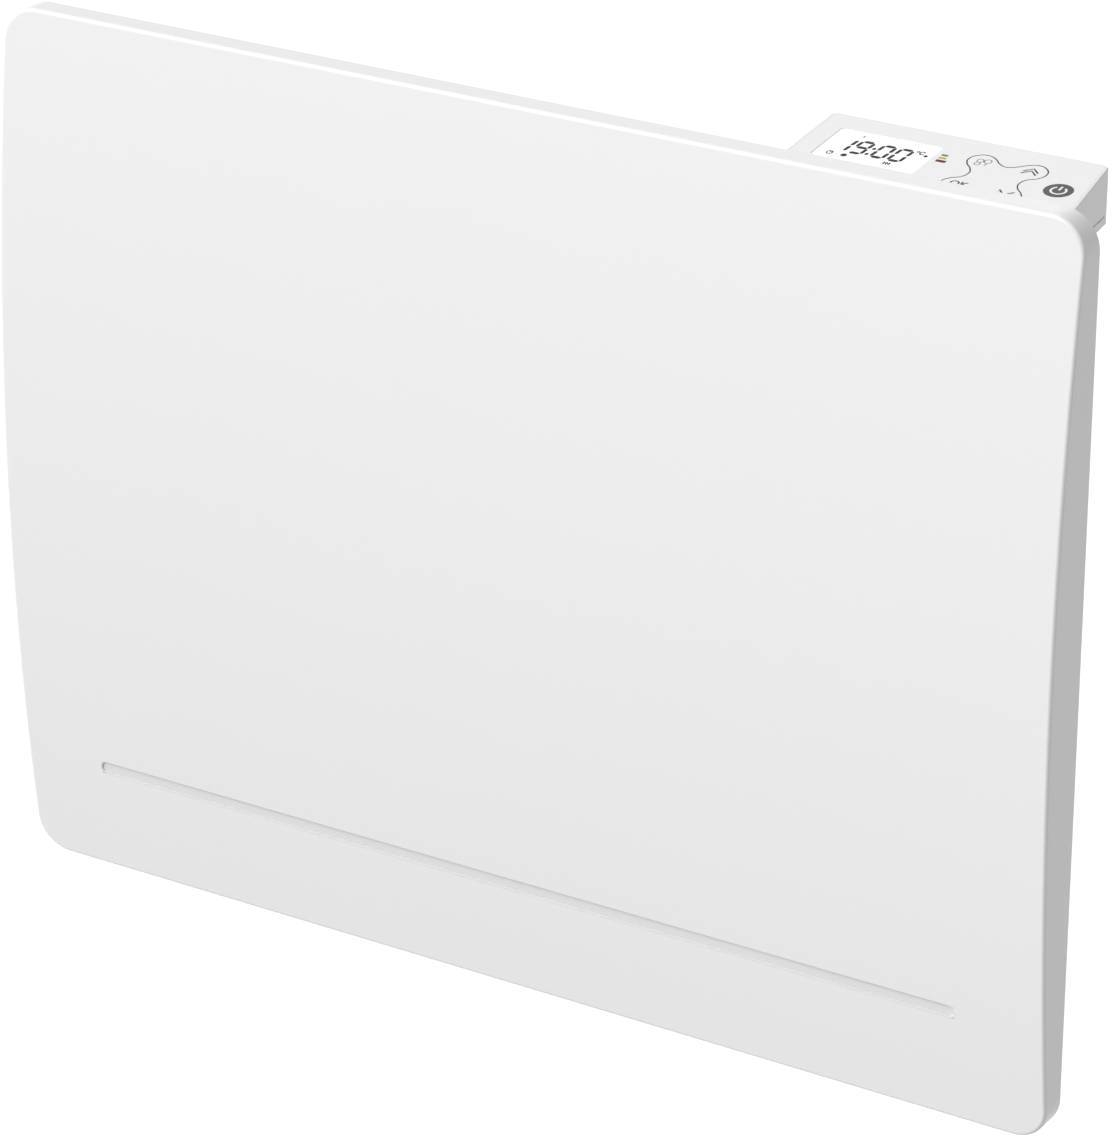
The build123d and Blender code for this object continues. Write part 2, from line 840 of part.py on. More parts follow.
def on_board(size, x, z):
    """A component standing on the power board, its lower left corner at x and z."""
    return block((x, x + size[0]), (board_front - size[1], board_front), (z, z + size[2]))


def relay():
    """The relay's sealed case."""
    case = on_board(relay_size, board_left + component_edge_gap, board_low + relay_rise)
    return fillet(case.edges().filter_by(Axis.Y), relay_round)


def transformer():
    """A small transformer: laminated core with its bobbin and winding."""
    x = board_right - transformer_size[0] - component_edge_gap
    z = board_low + transformer_rise
    core = on_board(transformer_size, x, z)
    middle_x = x + transformer_size[0] / 2
    middle_z = z + transformer_size[2] / 2
    winding = block(
        (middle_x - bobbin_width / 2, middle_x + bobbin_width / 2),
        (board_front - transformer_size[1] - bobbin_stand, board_front),
        (middle_z - bobbin_height / 2, middle_z + bobbin_height / 2))
    return core + fillet(winding.edges().filter_by(Axis.Z), bobbin_round)


def terminal_x(number):
    """Centre of one way of the terminal block, counted from the left."""
    pitch = terminal_size[0] / terminal_ways
    return terminal_left + pitch * (number + 0.5)


def terminal_block():
    """Terminal block: leads enter from below, screw wells in front."""
    case = on_board(terminal_size, terminal_left, terminal_low)
    face = board_front - terminal_size[1]
    for number in range(terminal_ways):
        well = (terminal_x(number), face, terminal_low + screw_well_rise)
        case -= bar(well, wall, screw_well_radius, screw_well_depth)
    return case


def board_connectors():
    """Connectors for the sensor, the cut-out and the display cable."""
    edge = board_left + connector_edge_gap
    for_sensor = on_board(connector_size, edge, board_low + sensor_connector_rise)
    for_cutout = on_board(connector_size, edge, board_low + cutout_connector_rise)
    high = board_high - connector_edge_gap
    for_display = block(
        (grommet_x - ribbon_width, grommet_x + ribbon_width),
        (board_front - connector_size[1], board_front), (high - connector_size[2], high))
    return group([for_sensor, for_cutout, for_display])


def element_leads():
    """Leads from the terminal block to both ends of the heating rod."""
    y = element_y
    near = terminal_x(0)
    far = terminal_x(1)
    right_end = element_ends[1] + lead_far_x
    left_end = element_ends[0] - lead_far_x
    turn = left_end - lead_side_run
    low = casing_bottom + lead_floor_height
    short = [(near, y, terminal_low), (near, y, element_z), (right_end, y, element_z)]
    long = [(far, y, terminal_low), (far, y, low), (turn, y, low), (turn, y, element_z)]
    long.append((left_end, y, element_z))
    return group([lead(short), lead(long)])


def switch_leads():
    """Two leads from the rocker switch up to the terminal block."""
    start_x = switch_face - switch_body_depth - blade_length
    leads = []
    for number, side in ((3, 1), (2, -1)):
        x = terminal_x(number)
        z = switch_z + side * blade_pitch / 2
        leads.append(lead([(start_x, switch_y, z), (x, switch_y, z), (x, switch_y, terminal_low)]))
    return group(leads)


def cutout_leads():
    """Two leads from the cut-out's blades to their connector."""
    y = shield_y - shield_sheet - clip_sheet - cutout_depth - blade_length / 2
    start = cutout_z + blade_width / 2
    middle = board_low + cutout_connector_rise + connector_size[2] / 2
    leads = []
    for side in (-1, 1):
        x = cutout_x + side * blade_pitch / 2
        z = middle - side * lead_pitch / 2
        leads.append(lead([(x, y, start), (x, y, z), (board_left + connector_edge_gap, y, z)]))
    return group(leads)


def sensor_lead():
    """Lead from the air sensor up to its connector."""
    z = board_low + sensor_connector_rise + connector_size[2] / 2
    end = board_left + connector_edge_gap
    return lead([(sensor_x, sensor_y, sensor_top()), (sensor_x, sensor_y, z), (end, sensor_y, z)])


def display_cable():
    """Flat cable from the power board up through the casing's top to the control board."""
    x = (grommet_x - ribbon_width / 2, grommet_x + ribbon_width / 2)
    y = (grommet_y - ribbon_thickness / 2, grommet_y + ribbon_thickness / 2)
    cable = block(x, y, (board_high - connector_edge_gap, box_back_top))
    return cable - above(control_board_depth + board_thickness + control_part_height)


# Rocker switch

def switch_housing():
    """Moulded switch body with a bezel, a hollow for the rocker and two blades."""
    face = switch_face
    y = (switch_y - switch_body[0] / 2, switch_y + switch_body[0] / 2)
    z = (switch_z - switch_body[1] / 2, switch_z + switch_body[1] / 2)
    body = block((face - switch_body_depth, face), y, z)
    half_y = bezel_size[0] / 2
    half_z = bezel_size[1] / 2
    bezel = block(
        (face, face + bezel_thickness), (switch_y - half_y, switch_y + half_y),
        (switch_z - half_z, switch_z + half_z))
    bezel = fillet(bezel.edges().filter_by(Axis.X), bezel_corner)
    bezel = chamfer(bezel.faces().sort_by(Axis.X)[-1].edges(), bezel_chamfer)
    hollow = block(
        (face - switch_body_depth + 2 * switch_wall, face + bezel_thickness),
        (y[0] + switch_wall, y[1] - switch_wall), (z[0] + switch_wall, z[1] - switch_wall))
    housing = body + bezel - hollow
    pin = rocker_pin_radius + pin_clearance
    reach = switch_body[0] / 2 - switch_wall + rocker_pin_length - rocker_side_gap + pin_clearance
    housing -= bar((pivot_x, switch_y - reach, switch_z), wall, pin, 2 * reach)
    for side in (-1, 1):
        middle = switch_z + side * blade_pitch / 2
        blade_y = (switch_y - blade_width / 2, switch_y + blade_width / 2)
        blade_x = (face - switch_body_depth - blade_length, face - switch_body_depth)
        housing += block(blade_x, blade_y, (middle - blade_sheet / 2, middle + blade_sheet / 2))
    return housing


def rocker():
    """The paddle: a round belly that crowns between two end flats, on two pins, tilted to one side."""
    half = rocker_half_length
    valley = rocker_face_height
    ends = valley + half * tan(radians(rocker_tilt))
    plane = Plane((pivot_x, switch_y, switch_z), x_dir=right, z_dir=front)
    width = switch_body[0] - 2 * switch_wall - 2 * rocker_side_gap
    top = make_face(Polyline((0, -half), (ends, -half), (valley, 0), (ends, half), (0, half), close=True))
    section = top + Circle(rocker_belly)
    section = Rot(0, 0, rocker_tilt) * section
    paddle = extrude(plane.offset(-width / 2) * section, amount=width)
    reach = width / 2 + rocker_pin_length
    return paddle + bar((pivot_x, switch_y - reach, switch_z), wall, rocker_pin_radius, 2 * reach)


# Supply gland and air sensor

def supply_gland():
    """Tapered gland in the casing's floor, held by a flange on each side of the sheet."""
    inside = casing_sheet + gland_flange
    profile = [
        (gland_bore, inside), (gland_flange_radius, inside), (gland_flange_radius, casing_sheet),
        (gland_neck_radius, casing_sheet), (gland_neck_radius, 0), (gland_flange_radius, 0),
        (gland_flange_radius, -gland_flange), (gland_sleeve_radius, -gland_flange),
        (gland_tip_radius, -gland_flange - gland_sleeve), (gland_bore, -gland_flange - gland_sleeve)]
    outline = Plane.XZ * make_face(Polyline(*profile, close=True))
    return Pos(gland_x, gland_y, casing_bottom) * revolve(outline, Axis.Z)


def sensor_top():
    """Upper end of the air sensor's sleeve."""
    return casing_bottom + casing_sheet + holder_height


def sensor_holder():
    """A moulded clip on the casing's floor with a cradle for the sensor."""
    low = casing_bottom + casing_sheet
    floor = low + holder_floor
    high = low + holder_height
    half = holder_width / 2
    slot = holder_opening / 2
    post = block((sensor_x - half, sensor_x + half), (sensor_y - half, sensor_y + half), (low, high))
    post -= bar((sensor_x, sensor_y, floor), up, sensor_radius, holder_height)
    return post - block((sensor_x - slot, sensor_x + slot), (sensor_y - half, sensor_y), (floor, high))


def air_sensor():
    """The thermistor's sleeve in its clip."""
    return bar((sensor_x, sensor_y, sensor_top() - sensor_length), up, sensor_radius, sensor_length)


# Control box

def box_right(y):
    """The box's right side, which draws in towards the wall."""
    return box_right_back + box_taper * (box_back - y)


def box_outline(inset):
    """The box seen from above, inset by a wall."""
    front_y = box_front + inset
    back_y = box_back - inset
    shift = inset * sqrt(1 + box_taper ** 2)
    points = [
        (box_left + inset, front_y, 0), (box_right(front_y) - shift, front_y, 0),
        (box_right(back_y) - shift, back_y, 0), (box_left + inset, back_y, 0)]
    return rounded(points, [max(box_corner_radius - inset, 0)] * 4)


def above(depth):
    """Everything over the plane that lies a depth below the box's sloped top."""
    reach = 4 * box_right_back
    return top_plane.offset(-depth) * Box(reach, reach, box_back_height * 2, align=from_base)


def box_prism(inset, low, depth):
    """The box's outline run up from a level to a depth below its sloped top."""
    return extrude(Pos(0, 0, low) * box_outline(inset), amount=2 * box_back_height) - above(depth)


def layer(inset, depth, thickness):
    """A sheet of the box's outline lying between two depths below its top."""
    return box_prism(inset, box_bottom, depth) & above(depth + thickness)


def window_layer(grow, depth, thickness):
    """A rounded rectangle over the display, between two depths below the top."""
    sketch = RectangleRounded(window_size[0] + 2 * grow, window_size[1] + 2 * grow, window_corner + grow)
    middle = Pos(window_left + window_size[0] / 2, window_front + window_size[1] / 2)
    return extrude(top_plane.offset(-depth - thickness) * middle * sketch, amount=thickness)


def disc(place, radius, depth, thickness):
    """A round layer at a place on the top, between two depths below it."""
    return top_plane.offset(-depth - thickness) * Pos(*place) * Cylinder(radius, thickness, align=from_base)


def cap_radius(name):
    """Radius of a key's cap."""
    return power_key_radius if name == "power" else key_radius


def cover_screw_places():
    """The four corner screws that hold the cover on the base."""
    rows = (box_front + post_inset_y, box_back - post_inset_y)
    return [(x, y) for y in rows for x in (box_left + post_inset_x, box_right(y) - post_inset_x)]


def box_mount_places():
    """The screws that hold the base on the casing's top."""
    near = box_left + mount_left_inset
    back_row = box_back - mount_inset
    return [(near, box_front + mount_inset), (near, back_row), (mount_right, back_row)]


def stake_places():
    """Pegs under the cover's ceiling that carry the control board."""
    x = (control_board_left + stake_inset, control_board_right - stake_right_inset)
    y = (control_board_front + stake_inset, control_board_back - stake_inset)
    return [(u, v) for u in x for v in y]


def control_box_cover():
    """Moulded cover: sloped top with film recess, window and key holes, posts and pegs below."""
    cover = box_prism(0, parting_z, 0)
    top = cover.faces().sort_by(Axis.Z)[-1]
    cover = fillet(top.edges(), box_edge_radius)
    cover -= box_prism(box_wall, parting_z, ceiling_depth)
    for x, y in cover_screw_places():
        cover += bar((x, y, parting_z), up, post_radius, 2 * box_back_height) - above(ceiling_depth)
        cover -= bar((x, y, parting_z), up, box_screw_radius, box_screw_bite)
    for place in stake_places():
        cover += disc(place, stake_radius, ceiling_depth, control_board_depth - ceiling_depth)
    cover -= above(recess_depth) & box_prism(film_margin, parting_z, -box_wall)
    cover -= window_layer(0, recess_depth, ceiling)
    for name, place in key_places.items():
        cover -= disc(place, cap_radius(name) + key_gap, recess_depth, ceiling)
    return cover


def control_box_base():
    """Moulded tub on the casing's top: shadow groove, lip inside the cover and screw bosses."""
    lip_inset = box_wall + box_lip_gap
    hollow_inset = lip_inset + box_lip_wall
    groove_low = parting_z - box_groove_height
    walls = extrude(Pos(0, 0, box_bottom) * box_outline(0), amount=box_parting - box_groove_height)
    walls += extrude(Pos(0, 0, groove_low) * box_outline(box_groove_depth), amount=box_groove_height)
    base = walls + extrude(Pos(0, 0, box_bottom) * box_outline(lip_inset), amount=box_parting + box_lip)
    base -= extrude(Pos(0, 0, floor_top) * box_outline(hollow_inset), amount=box_parting + box_lip)
    for x, y in cover_screw_places():
        base -= bar((x, y, parting_z), up, post_radius + box_lip_gap, box_lip)
        base += bar((x, y, box_bottom), up, boss_radius, box_parting) & walls
        base -= bar((x, y, box_bottom), up, box_screw_radius + screw_clearance, box_parting)
        base -= bar((x, y, box_bottom), up, box_screw_head_radius + screw_clearance, box_screw_head)
    for x, y in box_mount_places():
        base += bar((x, y, box_bottom), up, boss_radius, box_wall + boss_height)
        base -= bar((x, y, box_bottom), up, sheet_screw_radius, box_wall + boss_height)
    return base - bar((grommet_x, grommet_y, box_bottom), up, grommet_radius, box_wall)


def box_screws():
    """Screws from below through the base into the cover's posts."""
    seat = box_bottom + box_screw_head
    length = parting_z + box_screw_bite - seat
    return group([
        screw((x, y, seat), up, box_screw_radius, length, box_screw_head_radius, box_screw_head)
        for x, y in cover_screw_places()])


def box_mount_screws():
    """Screws from inside the casing's top into the base's bosses."""
    return group([sheet_screw((x, y, casing_top - casing_sheet), up) for x, y in box_mount_places()])


def cable_grommet():
    """Rubber ring through the casing's top and the box's floor, with a slot for the flat cable."""
    low = casing_top - casing_sheet
    ring = bar((grommet_x, grommet_y, low - grommet_flange), up, grommet_flange_radius, grommet_flange)
    ring += bar((grommet_x, grommet_y, low), up, grommet_radius, casing_sheet + box_wall)
    ring += bar((grommet_x, grommet_y, floor_top), up, grommet_flange_radius, grommet_flange)
    x = (grommet_x - ribbon_width / 2 - screw_clearance, grommet_x + ribbon_width / 2 + screw_clearance)
    y_half = ribbon_thickness / 2 + screw_clearance
    z = (low - grommet_flange, floor_top + grommet_flange)
    return ring - block(x, (grommet_y - y_half, grommet_y + y_half), z)


def keypad_film():
    """Printed polyester film in the cover's recess, open over the display."""
    return layer(film_margin + film_gap, 0, film_thickness) - window_layer(0, 0, film_thickness)


def display_window():
    """Clear pane that fills the film's opening."""
    return window_layer(-film_gap, 0, film_thickness)


def display_glass():
    """Liquid crystal glass: its front sits in the cover's window, its edge under the ceiling."""
    front_part = window_layer(-film_gap, recess_depth + glass_gap, ceiling)
    return front_part + window_layer(glass_step, glass_depth, glass_thickness)


def display_frame():
    """Backlight frame between the glass and the board."""
    outer = window_layer(glass_step + frame_border, frame_depth, frame_thickness)
    return outer - window_layer(-glass_step, frame_depth, frame_recess)


def control_board():
    """The board under the cover, notched round the cover's posts."""
    size = (control_board_right - control_board_left, control_board_back - control_board_front)
    middle = Pos(control_board_left + size[0] / 2, control_board_front + size[1] / 2)
    plane = top_plane.offset(-control_board_depth - board_thickness)
    board = extrude(plane * middle * Rectangle(*size), amount=board_thickness)
    for x, y in cover_screw_places():
        board -= bar((x, y, box_bottom), up, post_radius + board_gap, 2 * box_back_height)
    return board


def control_parts():
    """Cable socket, controller and sounder on the board's underside."""
    depth = control_board_depth + board_thickness
    u = grommet_x - box_left
    v = (grommet_y - panel_back) * slope_length
    low_plane = top_plane.offset(-depth - control_part_height)
    outline = Rectangle(ribbon_width + 2 * socket_wall, ribbon_thickness + 2 * socket_wall)
    socket = extrude(low_plane * Pos(u, v) * outline, amount=control_part_height)
    chip_plane = top_plane.offset(-depth - chip_height)
    chip_place = Pos(u - chip_from_cable, v)
    chip = extrude(chip_plane * chip_place * Rectangle(chip_size, chip_size), amount=chip_height)
    sounder_place = (u - sounder_from_cable[0], v + sounder_from_cable[1])
    sounder = disc(sounder_place, sounder_radius, depth, control_part_height)
    return group([socket, chip, sounder])


def tact_switches():
    """One small push switch on the board under each key."""
    plane = top_plane.offset(-control_board_depth)
    outline = Rectangle(switch_size, switch_size)
    return group([
        extrude(plane * Pos(*place) * outline, amount=switch_height) for place in key_places.values()])


def key(name):
    """A key under the film: cap in the cover's hole, retaining flange, and post with the switch's stem."""
    place = key_places[name]
    radius = cap_radius(name)
    top_depth = film_thickness + key_film_gap
    flange_depth = ceiling_depth + key_film_gap
    post_depth = flange_depth + key_flange
    stem_end = control_board_depth - switch_height - key_travel - stem_clearance
    cap = disc(place, radius, top_depth, flange_depth - top_depth)
    flange = disc(place, radius + key_flange_step, flange_depth, key_flange)
    return cap + flange + disc(place, stem_radius, post_depth, stem_end - post_depth)


parts = {
    "bracket_upper_rail": bracket_rail("upper"),
    "bracket_lower_rail": bracket_rail("lower"),
    "bracket_upright_left": bracket_upright(-1),
    "bracket_upright_right": bracket_upright(1),
    "front_panel": front_panel(),
    "panel_rail_left": panel_rail(-1),
    "panel_rail_right": panel_rail(1),
    "panel_screws": panel_screws(),
    "rear_casing": rear_casing(),
    "wall_spacers": wall_spacers(),
    "casing_screws": casing_screws(),
    "element_body": element_body(),
    "heating_rod": heating_rod(),
    "rod_terminals": rod_terminals(),
    "element_bushes": element_bushes(),
    "element_bracket_left": element_bracket(-1),
    "element_bracket_right": element_bracket(1),
    "heat_shield": heat_shield(),
    "thermal_cutout": thermal_cutout(),
    "cutout_clip": cutout_clip(),
    "power_tray": power_tray(),
    "power_board": power_board(),
    "relay": relay(),
    "transformer": transformer(),
    "terminal_block": terminal_block(),
    "board_connectors": board_connectors(),
    "element_leads": element_leads(),
    "switch_leads": switch_leads(),
    "cutout_leads": cutout_leads(),
    "sensor_lead": sensor_lead(),
    "display_cable": display_cable(),
    "switch_housing": switch_housing(),
    "rocker": rocker(),
    "supply_gland": supply_gland(),
    "sensor_holder": sensor_holder(),
    "air_sensor": air_sensor(),
    "control_box_cover": control_box_cover(),
    "control_box_base": control_box_base(),
    "box_screws": box_screws(),
    "box_mount_screws": box_mount_screws(),
    "cable_grommet": cable_grommet(),
    "keypad_film": keypad_film(),
    "display_window": display_window(),
    "display_glass": display_glass(),
    "display_frame": display_frame(),
    "control_board": control_board(),
    "control_parts": control_parts(),
    "tact_switches": tact_switches(),
}
for key_name in key_places:
    parts["key_" + key_name] = key(key_name)

os.makedirs("parts", exist_ok=True)
for node, shape in parts.items():
    export_step(shape, f"parts/{node}.step")
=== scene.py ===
import json
from math import atan, cos, hypot, pi, radians, sin, sqrt, tan

import bpy
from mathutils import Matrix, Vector


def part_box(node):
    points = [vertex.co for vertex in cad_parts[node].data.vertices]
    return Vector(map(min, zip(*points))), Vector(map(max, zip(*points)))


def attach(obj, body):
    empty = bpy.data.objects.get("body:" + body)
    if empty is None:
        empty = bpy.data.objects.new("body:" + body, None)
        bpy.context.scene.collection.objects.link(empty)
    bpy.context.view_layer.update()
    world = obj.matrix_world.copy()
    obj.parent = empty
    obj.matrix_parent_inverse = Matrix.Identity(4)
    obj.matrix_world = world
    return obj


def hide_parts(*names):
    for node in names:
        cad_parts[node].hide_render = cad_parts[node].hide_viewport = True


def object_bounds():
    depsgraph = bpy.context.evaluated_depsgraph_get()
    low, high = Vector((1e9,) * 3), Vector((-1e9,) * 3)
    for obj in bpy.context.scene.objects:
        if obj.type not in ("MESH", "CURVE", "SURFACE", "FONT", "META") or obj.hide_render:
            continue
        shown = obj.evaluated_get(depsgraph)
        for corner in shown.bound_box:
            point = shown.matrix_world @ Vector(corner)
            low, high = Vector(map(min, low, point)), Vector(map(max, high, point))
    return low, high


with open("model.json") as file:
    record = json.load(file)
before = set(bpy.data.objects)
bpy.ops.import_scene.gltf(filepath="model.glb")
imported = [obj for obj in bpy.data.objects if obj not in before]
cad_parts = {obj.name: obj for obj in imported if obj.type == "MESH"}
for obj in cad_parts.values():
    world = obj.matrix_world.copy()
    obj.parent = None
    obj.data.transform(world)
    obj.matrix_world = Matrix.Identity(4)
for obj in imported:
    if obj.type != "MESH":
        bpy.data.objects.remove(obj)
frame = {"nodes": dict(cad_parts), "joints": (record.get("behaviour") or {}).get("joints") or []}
cad_low, cad_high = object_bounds()


# Camera: a long lens, high on the right of the heater and well in front of it.
# Its small shift frames the heater as in the photograph.
camera_azimuth = radians(32.01)
camera_elevation = radians(23.76)
camera_place = (1.19821, -1.97881, 0.98913)
camera_lens = 162.0
camera_sensor = 36.0
camera_shift = (0.01446, -0.00989)
camera_reach = 60.0
camera_aim = Vector((
    -sin(camera_azimuth) * cos(camera_elevation), cos(camera_azimuth) * cos(camera_elevation),
    -sin(camera_elevation)))
bpy.ops.object.camera_add(location=camera_place)
camera = bpy.context.object
camera.rotation_mode = "QUATERNION"
camera.rotation_quaternion = camera_aim.to_track_quat("-Z", "Y")
camera.data.lens = camera_lens
camera.data.sensor_width = camera_sensor
camera.data.shift_x, camera.data.shift_y = camera_shift
camera.data.clip_end = camera_reach
bpy.context.scene.camera = camera


# Studio: a plain floor well below the heater, an even pale surround, one broad soft lamp high on the
# left and a weaker one behind the heater. Only what the camera and mirrors see of floor and surround
# is lifted to white, so that the floor keeps the heater's shadow and throws little light up.
class Value:
    """A number, colour or vector that varies over a surface. Arithmetic on it adds Math nodes."""

    def __init__(self, paint, socket):
        self.paint = paint
        self.socket = socket

    def math(self, operation, first, second=0.0):
        """Adds a Math node."""
        return self.paint.node("ShaderNodeMath", {"operation": operation}, {0: first, 1: second})

    def __add__(self, other):
        return self.math("ADD", self, other)

    def __radd__(self, other):
        return self.math("ADD", other, self)

    def __sub__(self, other):
        return self.math("SUBTRACT", self, other)

    def __rsub__(self, other):
        return self.math("SUBTRACT", other, self)

    def __mul__(self, other):
        return self.math("MULTIPLY", self, other)

    def __rmul__(self, other):
        return self.math("MULTIPLY", other, self)

    def __abs__(self):
        return self.math("ABSOLUTE", self)


class Paint:
    """The nodes of one material, or of the surround."""

    def __init__(self, owner):
        owner.use_nodes = True
        self.owner = owner
        self.tree = owner.node_tree
        self.tree.nodes.clear()

    def node(self, kind, settings, sockets, output=0):
        """Adds a node: its settings first, then the values or links of its sockets."""
        made = self.tree.nodes.new(kind)
        for name, setting in settings.items():
            setattr(made, name, setting)
        for name, value in sockets.items():
            if isinstance(value, Value):
                self.tree.links.new(value.socket, made.inputs[name])
            else:
                made.inputs[name].default_value = value
        return Value(self, made.outputs[output]) if made.outputs else None

    def seen(self):
        """1 where the camera, a reflection or clear plastic looks, and 0 where light is gathered."""
        rays = [
            self.node("ShaderNodeLightPath", {}, {}, f"Is {kind} Ray")
            for kind in ("Camera", "Glossy", "Transmission")]
        return rays[0] + rays[1] + rays[2]

    def place(self, stretch=(1, 1, 1)):
        """Where a point of the surface is, in metres, with each axis scaled."""
        place = self.node("ShaderNodeTexCoord", {}, {}, "Object")
        return self.node("ShaderNodeMapping", {}, {"Vector": place, "Scale": stretch})

    def noise(self, size, detail=2.0, stretch=(1, 1, 1)):
        """Soft noise from 0 to 1 whose patches have a size in metres."""
        sockets = {"Vector": self.place(stretch), "Scale": 1 / size, "Detail": detail}
        return self.node("ShaderNodeTexNoise", {}, sockets)

    def clamp(self, value):
        """A number held between 0 and 1."""
        return self.node("ShaderNodeClamp", {}, {"Value": value})

    def blend(self, factor, first, second):
        """A colour between two others, through the sockets that a Mix node keeps for colours."""
        factor_in, first_in, second_in, colour_out = 0, 6, 7, 2
        sockets = {factor_in: factor, first_in: first, second_in: second}
        return self.node("ShaderNodeMix", {"data_type": "RGBA"}, sockets, colour_out)

    def relief(self, height, depth):
        """A normal for relief that stands a depth high where its height is 1."""
        return self.node("ShaderNodeBump", {}, {"Height": height, "Distance": depth})

    def surface(self, **sockets):
        """Ends a material with its main shader, whose sockets are named with underlines."""
        named = {name.replace("_", " "): value for name, value in sockets.items()}
        shader = self.node("ShaderNodeBsdfPrincipled", {}, named)
        self.node("ShaderNodeOutputMaterial", {}, {"Surface": shader})
        return self.owner


def tone(*levels):
    """A colour from one grey level or from three levels."""
    return (*levels, 1) if len(levels) == 3 else (*levels, *levels, *levels, 1)


floor_drop = 0.55
floor_reach = 60.0
floor_shade = 0.45
floor_lift = 0.62
surround_strength = 0.57
surround_lift = 0.43
lamps = {
    "key_lamp": ((0.50, 0.62, -0.62), 2.85, radians(50)),
    "back_lamp": ((0.27, -0.95, -0.08), 1.1, radians(16)),
}

bpy.ops.mesh.primitive_plane_add(size=floor_reach, location=(0, 0, cad_low.z - floor_drop))
floor = bpy.context.object
floor.name = "studio_floor"
paint = Paint(bpy.data.materials.new("studio_floor"))
matt = paint.node("ShaderNodeBsdfDiffuse", {}, {"Color": tone(floor_shade)})
glow = paint.node("ShaderNodeEmission", {}, {"Strength": paint.seen() * floor_lift})
both = paint.node("ShaderNodeAddShader", {}, {0: matt, 1: glow})
paint.node("ShaderNodeOutputMaterial", {}, {"Surface": both})
floor.data.materials.append(paint.owner)

surround = bpy.data.worlds.new("studio")
paint = Paint(surround)
sky = paint.node("ShaderNodeBackground", {}, {"Strength": surround_strength + paint.seen() * surround_lift})
paint.node("ShaderNodeOutputWorld", {}, {"Surface": sky})
bpy.context.scene.world = surround
bpy.context.scene.view_settings.view_transform = "Standard"

for name, (aim, strength, spread) in lamps.items():
    bpy.ops.object.light_add(type="SUN")
    lamp = bpy.context.object
    lamp.name = name
    lamp.rotation_mode = "QUATERNION"
    lamp.rotation_quaternion = Vector(aim).to_track_quat("-Z", "Y")
    lamp.data.energy = strength
    lamp.data.angle = spread


# Wall bracket: two folded rails and two uprights of hot-dipped steel, screwed to the wall.
# The zinc shows large, sharp-edged flakes, each with its own grey and its own gloss.
flake_stretch = (1, 1, 0.8)
flake_contrast = 0.6
zinc_relief = 0.00002


def dress(material, *names):
    """Gives CAD nodes a finish."""
    for name in names:
        slots = frame["nodes"][name].data.materials
        slots.clear()
        slots.append(material)


def zinc(name, flake, dark, light):
    """Zinc with flakes of a size in metres, each a grey between two levels."""
    paint = Paint(bpy.data.materials.new(name))
    bent = paint.noise(flake, detail=3.0)
    sockets = {"Vector": paint.place(flake_stretch), "Scale": 1 / flake}
    cells = paint.node("ShaderNodeTexVoronoi", {}, sockets, "Color")
    shade = paint.node("ShaderNodeSeparateColor", {}, {"Color": cells}, "Red")
    gloss = paint.node("ShaderNodeSeparateColor", {}, {"Color": cells}, "Green")
    grey = shade * flake_contrast + bent * (1 - flake_contrast)
    return paint.surface(
        Base_Color=paint.blend(grey, tone(dark), tone(light)), Metallic=0.7,
        Roughness=0.38 + gloss * 0.12, Normal=paint.relief(bent, zinc_relief))


bracket_zinc = zinc("bracket_zinc", flake=0.006, dark=0.50, light=0.58)
dress(
    bracket_zinc, "bracket_upper_rail", "bracket_lower_rail", "bracket_upright_left",
    "bracket_upright_right")


# Rear casing: a drawn steel tray with louvres, vents and hook slots, and the two folded rails
# that carry the panel. All are powder coated, with the coat's fine ripple.
def finish(name, shade, other, patches, grain, depth, roughness, **sockets):
    """A material whose colour drifts between two shades in soft patches, under a fine even grain.

    Patches and grain are sizes in metres, depth is how high the grain stands, and roughness is a range.
    """
    paint = Paint(bpy.data.materials.new(name))
    fine = paint.noise(grain, detail=3.0)
    return paint.surface(
        Base_Color=paint.blend(paint.noise(patches), shade, other), Normal=paint.relief(fine, depth),
        Roughness=roughness[0] + fine * (roughness[1] - roughness[0]), **sockets)


casing_paint = finish(
    "casing_paint", tone(0.70), tone(0.745), patches=0.12, grain=0.0011, depth=0.000015,
    roughness=(0.36, 0.52), Specular_IOR_Level=0.45)
dress(casing_paint, "rear_casing", "panel_rail_left", "panel_rail_right")


# Wall spacers: two rounded feet low on the casing's back, which keep its lower edge off the wall.
# They are moulded in white plastic that lets a little light in.
spacer_white = finish(
    "spacer_white", tone(0.70), tone(0.76), patches=0.01, grain=0.0004, depth=0.00001,
    roughness=(0.42, 0.58), Subsurface_Weight=0.06, Subsurface_Radius=(0.002, 0.002, 0.002))
dress(spacer_white, "wall_spacers")


# Screws: zinc-plated steel with chamfered heads, bright and slightly bluish. They hold the casing on the
# panel's rails, the element and the power tray in the casing, and the control box's base and cover.
screw_zinc = finish(
    "screw_zinc", tone(0.52, 0.54, 0.57), tone(0.64, 0.66, 0.69), patches=0.004, grain=0.0003,
    depth=0.000004, roughness=(0.22, 0.4), Metallic=1.0)
dress(screw_zinc, "panel_screws", "casing_screws", "box_screws", "box_mount_screws")


